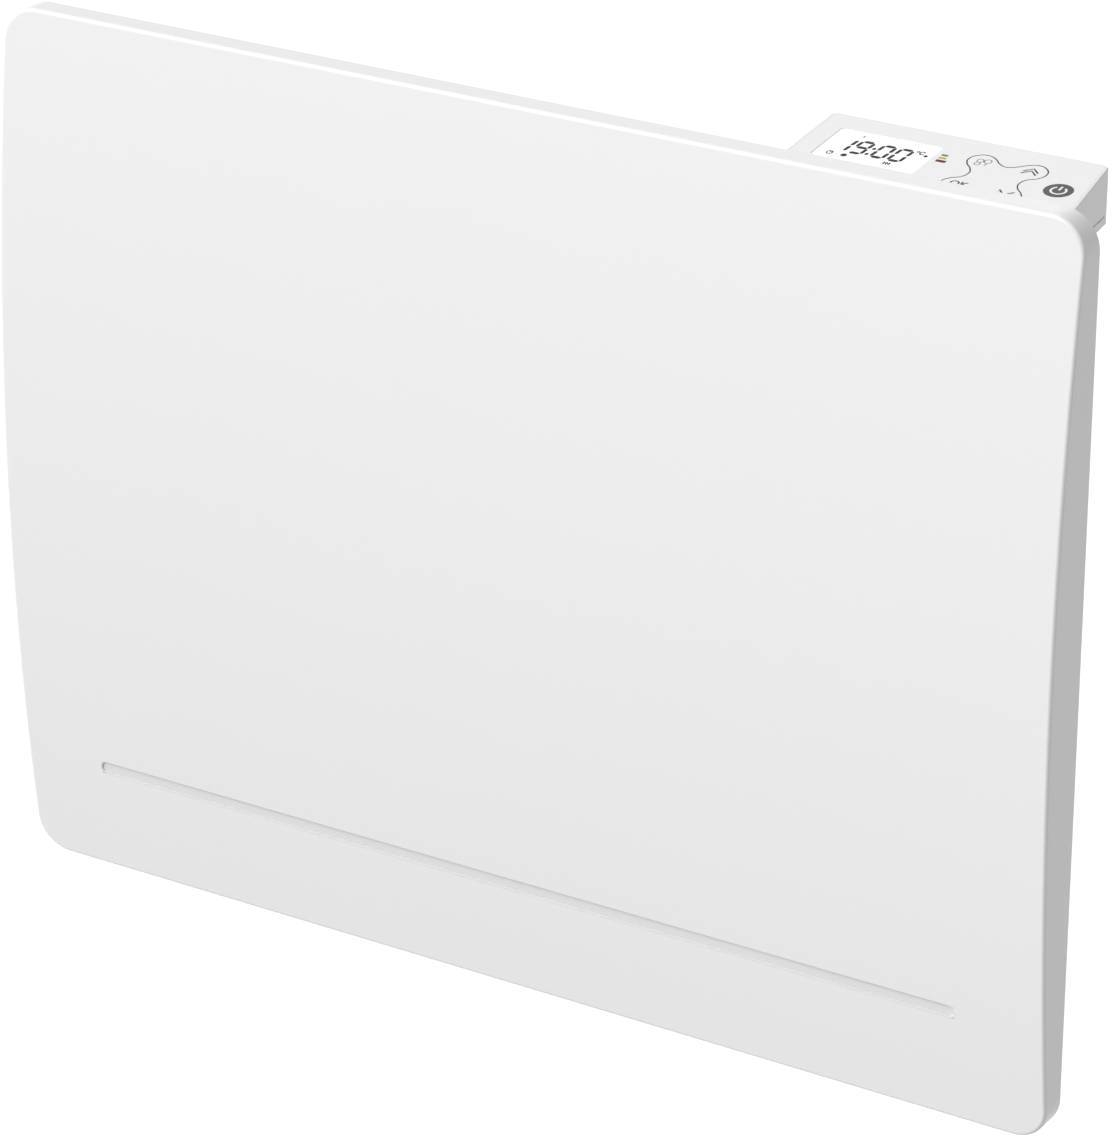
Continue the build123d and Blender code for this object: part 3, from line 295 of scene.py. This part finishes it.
# Convector element: a cross-cut aluminium extrusion on a sheathed rod, between ceramic bushes in
# two plated brackets. The extrusion keeps the die's fine lines along its length.
die_pitch = 0.0012
die_stretch = (0.02, 1, 1)
die_relief = 0.00003
stain_size = 0.05
paint = Paint(bpy.data.materials.new("element_aluminium"))
die_lines = paint.noise(die_pitch, detail=4.0, stretch=die_stretch)
stain = paint.noise(stain_size)
element_aluminium = paint.surface(
    Base_Color=paint.blend(stain, tone(0.60, 0.61, 0.62), tone(0.72, 0.73, 0.74)), Metallic=0.95,
    Roughness=0.34 + die_lines * 0.22, Normal=paint.relief(die_lines, die_relief))
dress(element_aluminium, "element_body")
rod_steel = finish(
    "rod_steel", tone(0.13, 0.125, 0.12), tone(0.24, 0.22, 0.20), patches=0.03, grain=0.0008,
    depth=0.00001, roughness=(0.35, 0.6), Metallic=0.9)
dress(rod_steel, "heating_rod", "rod_terminals")
ceramic = finish(
    "ceramic", tone(0.74, 0.71, 0.64), tone(0.82, 0.80, 0.75), patches=0.003, grain=0.0005,
    depth=0.00002, roughness=(0.5, 0.7))
dress(ceramic, "element_bushes")
plated_sheet = zinc("plated_sheet", flake=0.0035, dark=0.54, light=0.60)
dress(plated_sheet, "element_bracket_left", "element_bracket_right")


# Heat shield and thermal cut-out: a folded plated sheet between the element and the casing's back, and
# on it a disc cut-out in a dark moulded body, held by a spring strip.
dress(plated_sheet, "heat_shield", "cutout_clip")
cutout_body = finish(
    "cutout_body", tone(0.012, 0.009, 0.008), tone(0.022, 0.018, 0.016), patches=0.004, grain=0.0004,
    depth=0.00001, roughness=(0.35, 0.5))
dress(cutout_body, "thermal_cutout")


# Power electronics: the mains board on the posts of a moulded tray, which is screwed to the casing's back.
# Its copper tracks show lighter through the green lacquer. It carries a relay and a transformer, both dark,
# and pale terminals and connectors.
tray_plastic = finish(
    "tray_plastic", tone(0.66, 0.66, 0.64), tone(0.71, 0.71, 0.69), patches=0.02, grain=0.0005,
    depth=0.000015, roughness=(0.45, 0.62))
dress(tray_plastic, "power_tray")
weave_size = 0.0006
weave_relief = 0.00001
paint = Paint(bpy.data.materials.new("board_green"))
tracks = paint.node(
    "ShaderNodeTexBrick", {"offset": 0.37},
    {"Vector": paint.place(), "Scale": 60.0, "Mortar Size": 0.035, "Color1": tone(0.0), "Color2": tone(0.15),
     "Mortar": tone(1.0)})
weave = paint.noise(weave_size)
board_green = paint.surface(
    Base_Color=paint.blend(tracks, tone(0.006, 0.085, 0.03), tone(0.03, 0.20, 0.07)),
    Roughness=0.28 + weave * 0.15, Normal=paint.relief(weave, weave_relief), Coat_Weight=0.3)
dress(board_green, "power_board")
relay_case = finish(
    "relay_case", tone(0.012, 0.016, 0.045), tone(0.02, 0.026, 0.06), patches=0.01, grain=0.0004,
    depth=0.00001, roughness=(0.4, 0.55))
dress(relay_case, "relay", "transformer")
terminal_plastic = finish(
    "terminal_plastic", tone(0.62, 0.62, 0.56), tone(0.68, 0.68, 0.62), patches=0.01, grain=0.0004,
    depth=0.00001, roughness=(0.4, 0.55))
dress(terminal_plastic, "terminal_block", "board_connectors")


# Leads: soft sleeved wires from the power board to the heating rod, the switch, the cut-out and the sensor,
# and the flat cable, ribbed 1 mm apart, that goes up through the casing's top to the control board.
lead_sleeve = finish(
    "lead_sleeve", tone(0.56, 0.56, 0.53), tone(0.63, 0.63, 0.60), patches=0.01, grain=0.0003,
    depth=0.00001, roughness=(0.4, 0.55))
dress(lead_sleeve, "element_leads", "switch_leads", "cutout_leads", "sensor_lead")
rib_scale = 314.0
rib_relief = 0.0002
paint = Paint(bpy.data.materials.new("ribbon"))
ribs = paint.node(
    "ShaderNodeTexWave", {"wave_type": "BANDS", "bands_direction": "X"},
    {"Vector": paint.place(), "Scale": rib_scale}, "Fac")
# Painted shade: the valleys between the ribs are a darker grey than their crests.
ribbon = paint.surface(
    Base_Color=paint.blend(ribs, tone(0.40, 0.40, 0.39), tone(0.60, 0.60, 0.58)), Roughness=0.45,
    Normal=paint.relief(ribs, rib_relief))
dress(ribbon, "display_cable")


# Power switch: a black moulded housing whose bezel lies on the casing's right side, low down, and
# its black rocker, which is a little smoother and turns on two pins.
switch_black = finish(
    "switch_black", tone(0.010), tone(0.017), patches=0.01, grain=0.0004, depth=0.000015,
    roughness=(0.38, 0.52))
dress(switch_black, "switch_housing")
rocker_black = finish(
    "rocker_black", tone(0.012), tone(0.018), patches=0.01, grain=0.0005, depth=0.00001,
    roughness=(0.22, 0.34))
dress(rocker_black, "rocker")


# Supply gland and air sensor, at the casing's floor: a tapered gland of the tray's plastic, held by a
# flange on each side of the sheet, and a thermistor dipped in dark resin, in a clip of the same plastic.
dress(tray_plastic, "supply_gland", "sensor_holder")
sensor_epoxy = finish(
    "sensor_epoxy", tone(0.012), tone(0.02), patches=0.003, grain=0.0006, depth=0.00003,
    roughness=(0.25, 0.45))
dress(sensor_epoxy, "air_sensor")


# Front panel: one sheet of steel, pressed to a gentle bow with a rounded rim, a flange all round and
# a narrow groove near the bottom, and enamelled white. It stands for the solid of the same shape.
def hold(*pieces):
    """Selects pieces and nothing else, and makes the first one active."""
    bpy.ops.object.select_all(action="DESELECT")
    for piece in pieces:
        piece.select_set(True)
    bpy.context.view_layer.objects.active = pieces[0]


def fix(piece):
    """Takes a piece's place, turn and scale into its mesh."""
    hold(piece)
    bpy.ops.object.transform_apply(location=True, rotation=True, scale=True)


def start(name, half, **place):
    """Adds a flat plate of given half sizes with nothing else selected; its place is in its mesh."""
    if bpy.context.object.mode != "OBJECT":
        bpy.ops.object.mode_set(mode="OBJECT")
    bpy.ops.object.select_all(action="DESELECT")
    bpy.ops.mesh.primitive_plane_add(**place)
    piece = bpy.context.object
    piece.scale = half
    piece.name = name
    piece.data.name = name
    fix(piece)
    return piece


def pick(piece, kind, wanted=lambda point: True):
    """Opens a piece with only those vertices, edges or polygons selected that pass a test."""
    bpy.ops.object.mode_set(mode="OBJECT")
    mesh = piece.data
    modes = [kind == each for each in ("vertices", "edges", "polygons")]
    bpy.context.scene.tool_settings.mesh_select_mode = modes
    for group in (mesh.vertices, mesh.edges, mesh.polygons):
        group.foreach_set("select", [False] * len(group))
    for item in getattr(mesh, kind):
        points = [item.co] if kind == "vertices" else [mesh.vertices[each].co for each in item.vertices]
        item.select = all(wanted(point) for point in points)
    bpy.ops.object.mode_set(mode="EDIT")


def modify(piece, kind, **settings):
    """Adds a modifier and applies it."""
    bpy.ops.object.mode_set(mode="OBJECT")
    bpy.context.view_layer.objects.active = piece
    modifier = piece.modifiers.new(kind.lower(), kind)
    for name, value in settings.items():
        setattr(modifier, name, value)
    bpy.ops.object.modifier_apply(modifier=modifier.name)


def settle(piece, material, body):
    """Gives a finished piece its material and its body."""
    piece.data.materials.clear()
    piece.data.materials.append(material)
    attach(piece, body)


panel_low, panel_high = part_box("front_panel")
panel_back = panel_high.y
half_width = panel_high.x
half_height = panel_high.z
flange_depth = 0.013
corner_radius = 0.0184
corner_steps = 24
rim_radius = 0.0018
rim_steps = 6
row_count = 60
corner_rows = 4
row_decimals = 5
face_edge = panel_back - flange_depth
bow = face_edge - panel_low.y
bow_radius = (half_height ** 2 + bow ** 2) / (2 * bow)
straight_half = half_height - corner_radius
tiny = 0.00002


def rounded_inset(x, z, half_x, half_z, radius):
    """How far a point lies inside a rectangle with rounded corners."""
    over_x = abs(x) - half_x + radius
    over_z = abs(z) - half_z + radius
    beyond = hypot(max(over_x, 0), max(over_z, 0))
    return radius - beyond - min(max(over_x, over_z), 0)


def face_y(z):
    """Where the bowed face lies at a height, before its rim is rounded."""
    return face_edge - sqrt(bow_radius ** 2 - z ** 2) + sqrt(bow_radius ** 2 - half_height ** 2)


def panel_inset(point):
    """How far a point lies inside the panel's outline, seen from the front."""
    return rounded_inset(point.x, point.z, half_width, half_height, corner_radius)


panel = start(
    "heater_front", (half_width, half_height, 1), location=(0, face_edge, 0), rotation=(pi / 2, 0, 0))
pick(panel, "vertices")
bpy.ops.mesh.bevel(offset=corner_radius, segments=corner_steps, affect="VERTICES", clamp_overlap=False)
pick(panel, "polygons")
rim_angles = [pi / 2 * step / rim_steps for step in range(rim_steps + 1)]
rim_insets = [rim_radius * (1 - cos(angle)) for angle in rim_angles]
for outer, inner in zip(rim_insets, rim_insets[1:]):
    bpy.ops.mesh.inset(thickness=inner - outer, use_even_offset=True)
for row in range(row_count + 1):
    height = straight_half * (2 * row / row_count - 1)
    pick(panel, "polygons")
    bpy.ops.mesh.bisect(plane_co=(0, face_edge, height), plane_no=(0, 0, 1))
for inset, angle in zip(rim_insets, rim_angles):
    pick(panel, "vertices", lambda point: abs(panel_inset(point) - inset) < tiny)
    bpy.ops.transform.translate(value=(0, rim_radius * (1 - sin(angle)), 0))
for row in range(1, corner_rows):
    for side in (-1, 1):
        height = side * (straight_half + (corner_radius - rim_radius) * row / corner_rows)
        pick(panel, "polygons")
        bpy.ops.mesh.bisect(plane_co=(0, face_edge, height), plane_no=(0, 0, 1))
bpy.ops.object.mode_set(mode="OBJECT")
for height in sorted({round(vertex.co.z, row_decimals) for vertex in panel.data.vertices}):
    pick(panel, "vertices", lambda point: round(point.z, row_decimals) == height)
    bpy.ops.transform.translate(value=(0, face_y(height) - face_edge, 0))
pick(panel, "edges", lambda point: panel_inset(point) < tiny)
bpy.ops.mesh.extrude_region_move()
bpy.ops.transform.resize(value=(1, 0, 1), center_override=(0, panel_back, 0))
bpy.ops.mesh.edge_face_add()
pick(panel, "polygons")
bpy.ops.mesh.normals_make_consistent(inside=False)

# The groove is cut with a tapered tool laid square to the face
groove_place = -0.170
groove_size = (0.494, 0.0064)
groove_depth = 0.0009
groove_wall = 0.00025
groove_end_steps = 12
groove_tilt = -groove_place / bow_radius
cutter = start("groove_tool", (groove_size[0] / 2, groove_size[1] / 2, 1), rotation=(-pi / 2, 0, 0))
pick(cutter, "vertices")
bpy.ops.mesh.bevel(
    offset=groove_size[1] / 2, segments=groove_end_steps, affect="VERTICES", clamp_overlap=False)
bpy.ops.mesh.remove_doubles(threshold=tiny)
pick(cutter, "polygons")
bpy.ops.mesh.inset(thickness=groove_wall, use_even_offset=True)
bpy.ops.transform.translate(value=(0, groove_depth, 0))
pick(cutter, "edges", lambda point: abs(point.y) < tiny)
bpy.ops.mesh.extrude_region_move(TRANSFORM_OT_translate={"value": (0, -2 * groove_depth, 0)})
bpy.ops.mesh.edge_face_add()
pick(cutter, "polygons")
bpy.ops.mesh.normals_make_consistent(inside=False)
bpy.ops.object.mode_set(mode="OBJECT")
cutter.rotation_euler = (groove_tilt, 0, 0)
cutter.location = (0, face_y(groove_place), groove_place)
modify(panel, "BOOLEAN", object=cutter, operation="DIFFERENCE", solver="EXACT")
bpy.data.objects.remove(cutter)
pick(panel, "vertices")
bpy.ops.mesh.remove_doubles(threshold=tiny)

# The groove's edge is softened, the back is opened inside its lip, and the sheet gets its thickness
groove_near = 0.0002
soft_edge = 0.0002
soft_edge_steps = 3
lip = 0.009
sheet = 0.001
crease = radians(32)
flat_face_weight = 100


def on_groove_edge(point):
    """True on the groove's outline in the face."""
    across = (point.z - groove_place) / cos(groove_tilt)
    inset = rounded_inset(point.x, across, groove_size[0] / 2, groove_size[1] / 2, groove_size[1] / 2)
    return abs(inset) < groove_near and abs(point.y - face_y(point.z)) < groove_near


pick(panel, "edges", on_groove_edge)
bpy.ops.mesh.bevel(offset=soft_edge, segments=soft_edge_steps, affect="EDGES", clamp_overlap=True)
pick(panel, "vertices")
bpy.ops.mesh.dissolve_degenerate(threshold=tiny)
pick(panel, "polygons", lambda point: point.y > panel_back - tiny)
bpy.ops.mesh.inset(thickness=lip, use_even_offset=True)
bpy.ops.mesh.delete(type="FACE")
modify(panel, "SOLIDIFY", thickness=sheet, offset=-1)
hold(panel)
bpy.ops.object.shade_smooth_by_angle(angle=crease)
modify(panel, "WEIGHTED_NORMAL", keep_sharp=True, weight=flat_face_weight)

# The enamel has a fine even ripple. Shade is painted into the groove: its floor is a darker grey, and its
# lower wall, which faces up to the light, darker still.
ripple_size = 0.0016
ripple_relief = 0.000004
cloud_size = 0.25
shade_border = 0.0005
shade_spill = 0.0005
shade_ledge = 0.0006
paint = Paint(bpy.data.materials.new("white_enamel"))
ripple = paint.noise(ripple_size, detail=3.0)
spot = paint.place()
painted_groove_shade = 1.0
for axis, middle, half in (("X", 0.0, groove_size[0] / 2), ("Z", groove_place, groove_size[1] / 2)):
    away = paint.node("ShaderNodeSeparateXYZ", {}, {"Vector": spot}, axis) - middle
    painted_groove_shade = painted_groove_shade * paint.clamp((half + shade_spill - abs(away)) * (1 / shade_border))
# Painted shade: the groove's lower wall gets a deeper grey than its floor.
lower_wall_shade = paint.clamp((shade_ledge - groove_size[1] / 2 - away) * (1 / shade_border))
groove_shade_grey = paint.blend(lower_wall_shade, tone(0.72), tone(0.54))
plain_enamel = paint.blend(paint.noise(cloud_size), tone(0.795), tone(0.805))
white_enamel = paint.surface(
    Base_Color=paint.blend(painted_groove_shade, plain_enamel, groove_shade_grey), Roughness=0.30 + ripple * 0.06, Coat_Weight=0.25,
    Coat_Roughness=0.12, Normal=paint.relief(ripple, ripple_relief))
settle(panel, white_enamel, "heater")
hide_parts("front_panel")


# Control box: a moulded cover screwed on a moulded tub, at the right end of the casing's top. Its printed
# film lies flush in the cover's sloped top, open over the display, with the keys and their small metal
# switches on a board below. A rubber ring lines the hole that the flat cable comes in by.
box_white = finish(
    "box_white", tone(0.79), tone(0.80), patches=0.05, grain=0.0005, depth=0.000006, roughness=(0.30, 0.38))
dress(box_white, "control_box_cover", "control_box_base")
grommet_rubber = finish(
    "grommet_rubber", tone(0.018), tone(0.028), patches=0.006, grain=0.0004, depth=0.00002,
    roughness=(0.6, 0.75))
dress(grommet_rubber, "cable_grommet")
dress(board_green, "control_board")
dress(terminal_plastic, "control_parts")
switch_metal = finish(
    "switch_metal", tone(0.5), tone(0.6), patches=0.003, grain=0.0003, depth=0.000004,
    roughness=(0.3, 0.45), Metallic=0.8)
dress(switch_metal, "tact_switches")
key_plastic = finish(
    "key_plastic", tone(0.60), tone(0.64), patches=0.004, grain=0.0004, depth=0.00001, roughness=(0.4, 0.5))
dress(key_plastic, "key_mode", "key_up", "key_ok", "key_down", "key_power")
printed_film = finish(
    "printed_film", tone(0.80), tone(0.81), patches=0.04, grain=0.0003, depth=0.000002,
    roughness=(0.26, 0.34))
dress(printed_film, "keypad_film")
frame_white = finish(
    "frame_white", tone(0.72), tone(0.76), patches=0.01, grain=0.0004, depth=0.00001,
    roughness=(0.45, 0.6))
dress(frame_white, "display_frame")


# Display: white liquid crystal glass, lit from behind in its frame, under a clear pane that fills the
# film's opening. Its dark marks are the time, the degree sign and a few smaller signs.
display_white = finish(
    "display_white", tone(0.90), tone(0.93), patches=0.02, grain=0.0005, depth=0.000001,
    roughness=(0.25, 0.35), Emission_Color=tone(1.0), Emission_Strength=0.16)
dress(display_white, "display_glass")
clear_pane = finish(
    "clear_pane", tone(0.90), tone(0.95), patches=0.03, grain=0.0005, depth=0.000001,
    roughness=(0.06, 0.10), Alpha=0.02)
dress(clear_pane, "display_window")

box_slope = 0.115
box_front_top = 0.22352
mark_depth = -0.00034
mark_thickness = 0.00002
line_curve_steps = 10
line_side_steps = 2


def trace(name, points):
    """A chain of edges through flat points, drawn a vertex at a time."""
    piece = start(name, (tiny, tiny, tiny), location=(*points[0], 0))
    pick(piece, "vertices")
    bpy.ops.mesh.merge(type="CENTER")
    for here, there in zip(points, points[1:]):
        step = (there[0] - here[0], there[1] - here[1], 0)
        bpy.ops.mesh.extrude_region_move(TRANSFORM_OT_translate={"value": step})
    return piece


def patch(name, points, thickness):
    """A flat printed patch with an outline through points."""
    piece = trace(name, points)
    pick(piece, "vertices")
    bpy.ops.mesh.edge_face_add()
    bpy.ops.mesh.extrude_region_move(TRANSFORM_OT_translate={"value": (0, 0, thickness)})
    pick(piece, "polygons")
    bpy.ops.mesh.normals_make_consistent(inside=False)
    bpy.ops.object.mode_set(mode="OBJECT")
    return piece


def stroke(name, points, width, thickness, closed=False, curved=False):
    """A printed line of a width through points."""
    piece = trace(name, points)
    if closed:
        pick(piece, "vertices")
        bpy.ops.mesh.edge_face_add()
        bpy.ops.mesh.delete(type="ONLY_FACE")
    bpy.ops.object.mode_set(mode="OBJECT")
    bpy.ops.object.convert(target="CURVE")
    piece = bpy.context.object
    if curved:
        bpy.ops.object.mode_set(mode="EDIT")
        bpy.ops.curve.select_all(action="SELECT")
        bpy.ops.curve.spline_type_set(type="BEZIER")
        bpy.ops.curve.handle_type_set(type="AUTOMATIC")
        bpy.ops.object.mode_set(mode="OBJECT")
        piece.data.resolution_u = line_curve_steps
    piece.data.bevel_depth = width / 2
    piece.data.bevel_resolution = line_side_steps
    piece.data.use_fill_caps = True
    bpy.ops.object.convert(target="MESH")
    piece = bpy.context.object
    piece.scale = (1, 1, thickness / width)
    fix(piece)
    return piece


def arc_points(middle, radii, first, last, count=24):
    """Points along an ellipse, from one angle in degrees to another."""
    angles = [radians(first + (last - first) * number / count) for number in range(count + 1)]
    return [(middle[0] + radii[0] * cos(angle), middle[1] + radii[1] * sin(angle)) for angle in angles]


def ring_points(middle, radii, count=24):
    """Points all round an ellipse, each once."""
    return arc_points(middle, radii, 0.0, 360.0, count)[:-1]


def gather(name, pieces):
    """Joins pieces into one."""
    hold(*pieces)
    bpy.ops.object.join()
    pieces[0].name = name
    pieces[0].data.name = name
    return pieces[0]


def lay(piece, depth):
    """Lays a flat piece on the box's sloped top, at a height square to it."""
    turn = atan(box_slope)
    piece.rotation_euler = (turn, 0, 0)
    piece.location = (0, panel_back - depth * sin(turn), box_front_top + depth * cos(turn))
    fix(piece)


# The time is four slanted digits of dark bars with a colon between, and two more dots stand near them
bar_breadth = {"level": 0.0023, "upright": 0.0017}
digit_gap = 0.0002
digit_width = 0.0059
digit_height = 0.0124
digit_slant = 0.085
digit_low = 0.0229
digit_places = (("1", 0.14765), ("9", 0.15625), ("0", 0.16725), ("0", 0.1761))
digit_bars = {"1": "bc", "9": "abcdfg", "0": "abcdef"}


def digit(name, left):
    """The dark bars of one digit, each with pointed ends."""
    right, top, middle = digit_width, digit_height, digit_height / 2
    ends = {
        "a": ((0, top), (right, top)),
        "b": ((right, middle), (right, top)),
        "c": ((right, 0), (right, middle)),
        "d": ((0, 0), (right, 0)),
        "e": ((0, 0), (0, middle)),
        "f": ((0, middle), (0, top)),
        "g": ((0, middle), (right, middle))}
    bars = []
    for bar in digit_bars[name]:
        low, high = [Vector(end) for end in ends[bar]]
        along = (high - low).normalized()
        half = bar_breadth["level" if bar in "adg" else "upright"] / 2
        across = Vector((-along.y, along.x)) * half
        low, high = low + along * digit_gap, high - along * digit_gap
        inner_low, inner_high = low + along * half, high - along * half
        outline = [
            low, inner_low + across, inner_high + across, high, inner_high - across, inner_low - across]
        points = [(left + point.x + digit_slant * point.y, digit_low + point.y) for point in outline]
        bars.append(patch("bar", points, mark_thickness))
    return bars


marks = [bar for name, left in digit_places for bar in digit(name, left)]
for name, middle, radii in (
        ("colon", (0.1654, 0.0303), (0.0009, 0.0012)),
        ("colon", (0.1648, 0.0242), (0.0009, 0.0012)),
        ("dot", (0.1559, 0.0190), (0.0015, 0.0016)),
        ("point", (0.1903, 0.0329), (0.0010, 0.0011))):
    marks.append(patch(name, ring_points(middle, radii), mark_thickness))

# The smaller signs are drawn in lines: degrees, a clock, a short mark on top and three waves for heat
clock = (0.1486, 0.0192)
clock_hands = [(clock[0], clock[1] + 0.0013), clock, (clock[0] + 0.0011, clock[1] + 0.0006)]
heat_place = (0.1777, 0.0178)
heat_pitch = 0.0013
heat_sway = 0.0003
heat_turn = 2.5
heat_rise = 0.00055
heat_steps = 6
heat_width = 0.0007
for name, points, width, closed in (
        ("degree", ring_points((0.1852, 0.0358), (0.00055, 0.0008)), 0.0005, True),
        ("celsius", arc_points((0.1876, 0.0350), (0.0011, 0.0015), 25, 335), 0.0008, False),
        ("clock", ring_points(clock, (0.0014, 0.0017)), 0.0006, True),
        ("hands", clock_hands, 0.0007, False),
        ("mark", [(0.1551, 0.0391), (0.1553, 0.0405)], 0.0009, False)):
    marks.append(stroke(name, points, width, mark_thickness, closed))
for shift in (-heat_pitch, 0, heat_pitch):
    wave = [
        (heat_place[0] + shift + heat_sway * sin(heat_turn * step), heat_place[1] + heat_rise * step)
        for step in range(heat_steps)]
    marks.append(stroke("heat", wave, heat_width, mark_thickness, curved=True))
display_marks = gather("display_marks", marks)
lay(display_marks, mark_depth)
display_ink = finish(
    "display_ink", tone(0.010), tone(0.016), patches=0.004, grain=0.0004, depth=0.000001,
    roughness=(0.35, 0.45), Specular_IOR_Level=0.05)
settle(display_marks, display_ink, "heater")


# Print on the film: the outline round the four keys, the keys' signs, the power key's disc and
# the three coloured bars. Each is a very thin layer of ink.
def print_ink(name, dark, light):
    """Printed ink whose colour drifts between two shades."""
    return finish(
        name, dark, light, patches=0.004, grain=0.0004, depth=0.000001, roughness=(0.4, 0.5),
        Specular_IOR_Level=0.3)


def word(name, text, size, place, spread):
    """Printed letters centred on a place, thickened by a spread."""
    bpy.ops.object.select_all(action="DESELECT")
    bpy.ops.object.text_add(location=(*place, 0))
    letters = bpy.context.object.data
    letters.body = text
    letters.size = size
    letters.align_x = "CENTER"
    letters.align_y = "CENTER"
    letters.extrude = mark_thickness / 2
    letters.offset = spread
    bpy.ops.object.convert(target="MESH")
    piece = bpy.context.object
    fix(piece)
    piece.name = name
    return piece


ink_layer = 0.00003

# The outline, the arrows and the letters are one dark print
line_ink = print_ink("line_ink", tone(0.015), tone(0.022))
outline_width = 0.0007
outline_points = [
    (0.2089, 0.0125), (0.2112, 0.0170), (0.2149, 0.0200), (0.2164, 0.0248), (0.2146, 0.0294),
    (0.2109, 0.0336), (0.2094, 0.0382), (0.2116, 0.0430), (0.2162, 0.0447), (0.2208, 0.0426),
    (0.2246, 0.0389), (0.2284, 0.0371), (0.2326, 0.0387), (0.2366, 0.0423), (0.2416, 0.0446),
    (0.2466, 0.0423), (0.2489, 0.0376), (0.2472, 0.0322), (0.2434, 0.0290), (0.2418, 0.0246),
    (0.2434, 0.0196), (0.2472, 0.0154), (0.2490, 0.0118), (0.2478, 0.0066), (0.2402, 0.0050),
    (0.2290, 0.0095), (0.2180, 0.0050), (0.2104, 0.0064)]
chevron_half = 0.0037
chevron_width = 0.0010
lines = [stroke("outline", outline_points, outline_width, ink_layer, closed=True, curved=True)]
for tip, rise in (
        ((0.2410, 0.0406), 0.0037), ((0.2410, 0.0382), 0.0037),
        ((0.2405, 0.0113), -0.0039), ((0.2405, 0.0089), -0.0039)):
    legs = [(tip[0] - chevron_half, tip[1] - rise), tip, (tip[0] + chevron_half, tip[1] - rise)]
    lines.append(stroke("chevron", legs, chevron_width, ink_layer))
lines.append(word("ok", "OK", size=0.0060, place=(0.2173, 0.0131), spread=0.00012))
key_lines = gather("key_lines", lines)
lay(key_lines, 0)
settle(key_lines, line_ink, "heater")

# The mode key's sign is a few small rings with a tail, in paler ink
pale_ink = print_ink("pale_ink", tone(0.11), tone(0.14))
mode_width = 0.0005
rings = [
    stroke("ring", ring_points(middle, radii), mode_width, ink_layer, closed=True)
    for middle, radii in (
        ((0.2152, 0.0384), (0.0015, 0.0018)),
        ((0.2188, 0.0388), (0.0017, 0.0020)),
        ((0.2152, 0.0351), (0.0013, 0.0015)))]
tail = stroke("tail", [(0.2193, 0.0366), (0.2190, 0.0344)], mode_width, ink_layer)
mode_sign = gather("mode_sign", [*rings, tail])
lay(mode_sign, 0)
settle(mode_sign, pale_ink, "heater")

# The power key's sign, an open ring and a bar, is laid in the film's own white on a dark disc
disc_ink = print_ink("disc_ink", tone(0.075), tone(0.085))
power_middle = (0.2609, 0.0250)
power_disc_radius = 0.0069
power_disc_steps = 64
power_arc_radius = 0.0035
power_arc_gap = 35
power_arc_steps = 32
power_bar = (0.0004, 0.0042)
power_width = 0.0011
disc_radii = (power_disc_radius, power_disc_radius)
power_disc = patch("power_disc", ring_points(power_middle, disc_radii, power_disc_steps), ink_layer)
lay(power_disc, 0)
settle(power_disc, disc_ink, "heater")
arc_radii = (power_arc_radius, power_arc_radius)
arc_first = 90 + power_arc_gap
arc_last = arc_first + 360 - 2 * power_arc_gap
arc = arc_points(power_middle, arc_radii, arc_first, arc_last, power_arc_steps)
bar = [(power_middle[0], power_middle[1] + rise) for rise in power_bar]
power_sign = gather(
    "power_sign", [stroke("arc", arc, power_width, ink_layer), stroke("bar", bar, power_width, ink_layer)])
lay(power_sign, ink_layer)
settle(power_sign, printed_film, "heater")

# The three coloured bars get wider from the green one down to the red one
colour_bars = {
    "green": ((0.10, 0.22, 0.035), (0.1981, 0.0367), (0.0031, 0.0018)),
    "orange": ((0.60, 0.42, 0.04), (0.1984, 0.0337), (0.0038, 0.0018)),
    "red": ((0.14, 0.006, 0.004), (0.1992, 0.0306), (0.0050, 0.0023))}
bar_shade = 0.85
for name, (colour, (middle, height), (width, thick)) in colour_bars.items():
    low, high = height - thick / 2, height + thick / 2
    left, right = middle - width / 2, middle + width / 2
    bar = patch(f"{name}_bar", [(left, low), (right, low), (right, high), (left, high)], ink_layer)
    lay(bar, 0)
    deeper = tuple(bar_shade * level for level in colour)
    settle(bar, print_ink(f"{name}_ink", tone(*deeper), tone(*colour)), "heater")


# Signs on the power switch's rocker, printed in white on the flats at its two ends: an upright bar for
# on above, and a ring for off below. They tilt with the rocker.
rocker_pivot = Vector(next(joint["pos_m"] for joint in frame["joints"] if joint["name"] == "rocker_tilt"))
rocker_valley = 0.0050
rocker_rest = radians(11)
sign_place = 0.00545
sign_stand = rocker_valley + sign_place * tan(rocker_rest)
sign_reach = 0.0012
sign_width = 0.0005
sign_ink = print_ink("sign_ink", tone(0.62), tone(0.70))
for name, side, points, closed in (
        ("on_sign", 1, [(0, -sign_reach), (0, sign_reach)], False),
        ("off_sign", -1, ring_points((0, 0), (sign_reach, sign_reach)), True)):
    piece = stroke(name, points, sign_width, ink_layer, closed)
    rise = side * sign_place
    piece.rotation_euler = (pi / 2 - rocker_rest + side * rocker_rest, 0, pi / 2)
    piece.location = rocker_pivot + Vector((
        sign_stand * cos(rocker_rest) - rise * sin(rocker_rest), 0,
        sign_stand * sin(rocker_rest) + rise * cos(rocker_rest)))
    fix(piece)
    settle(piece, sign_ink, "power_rocker")
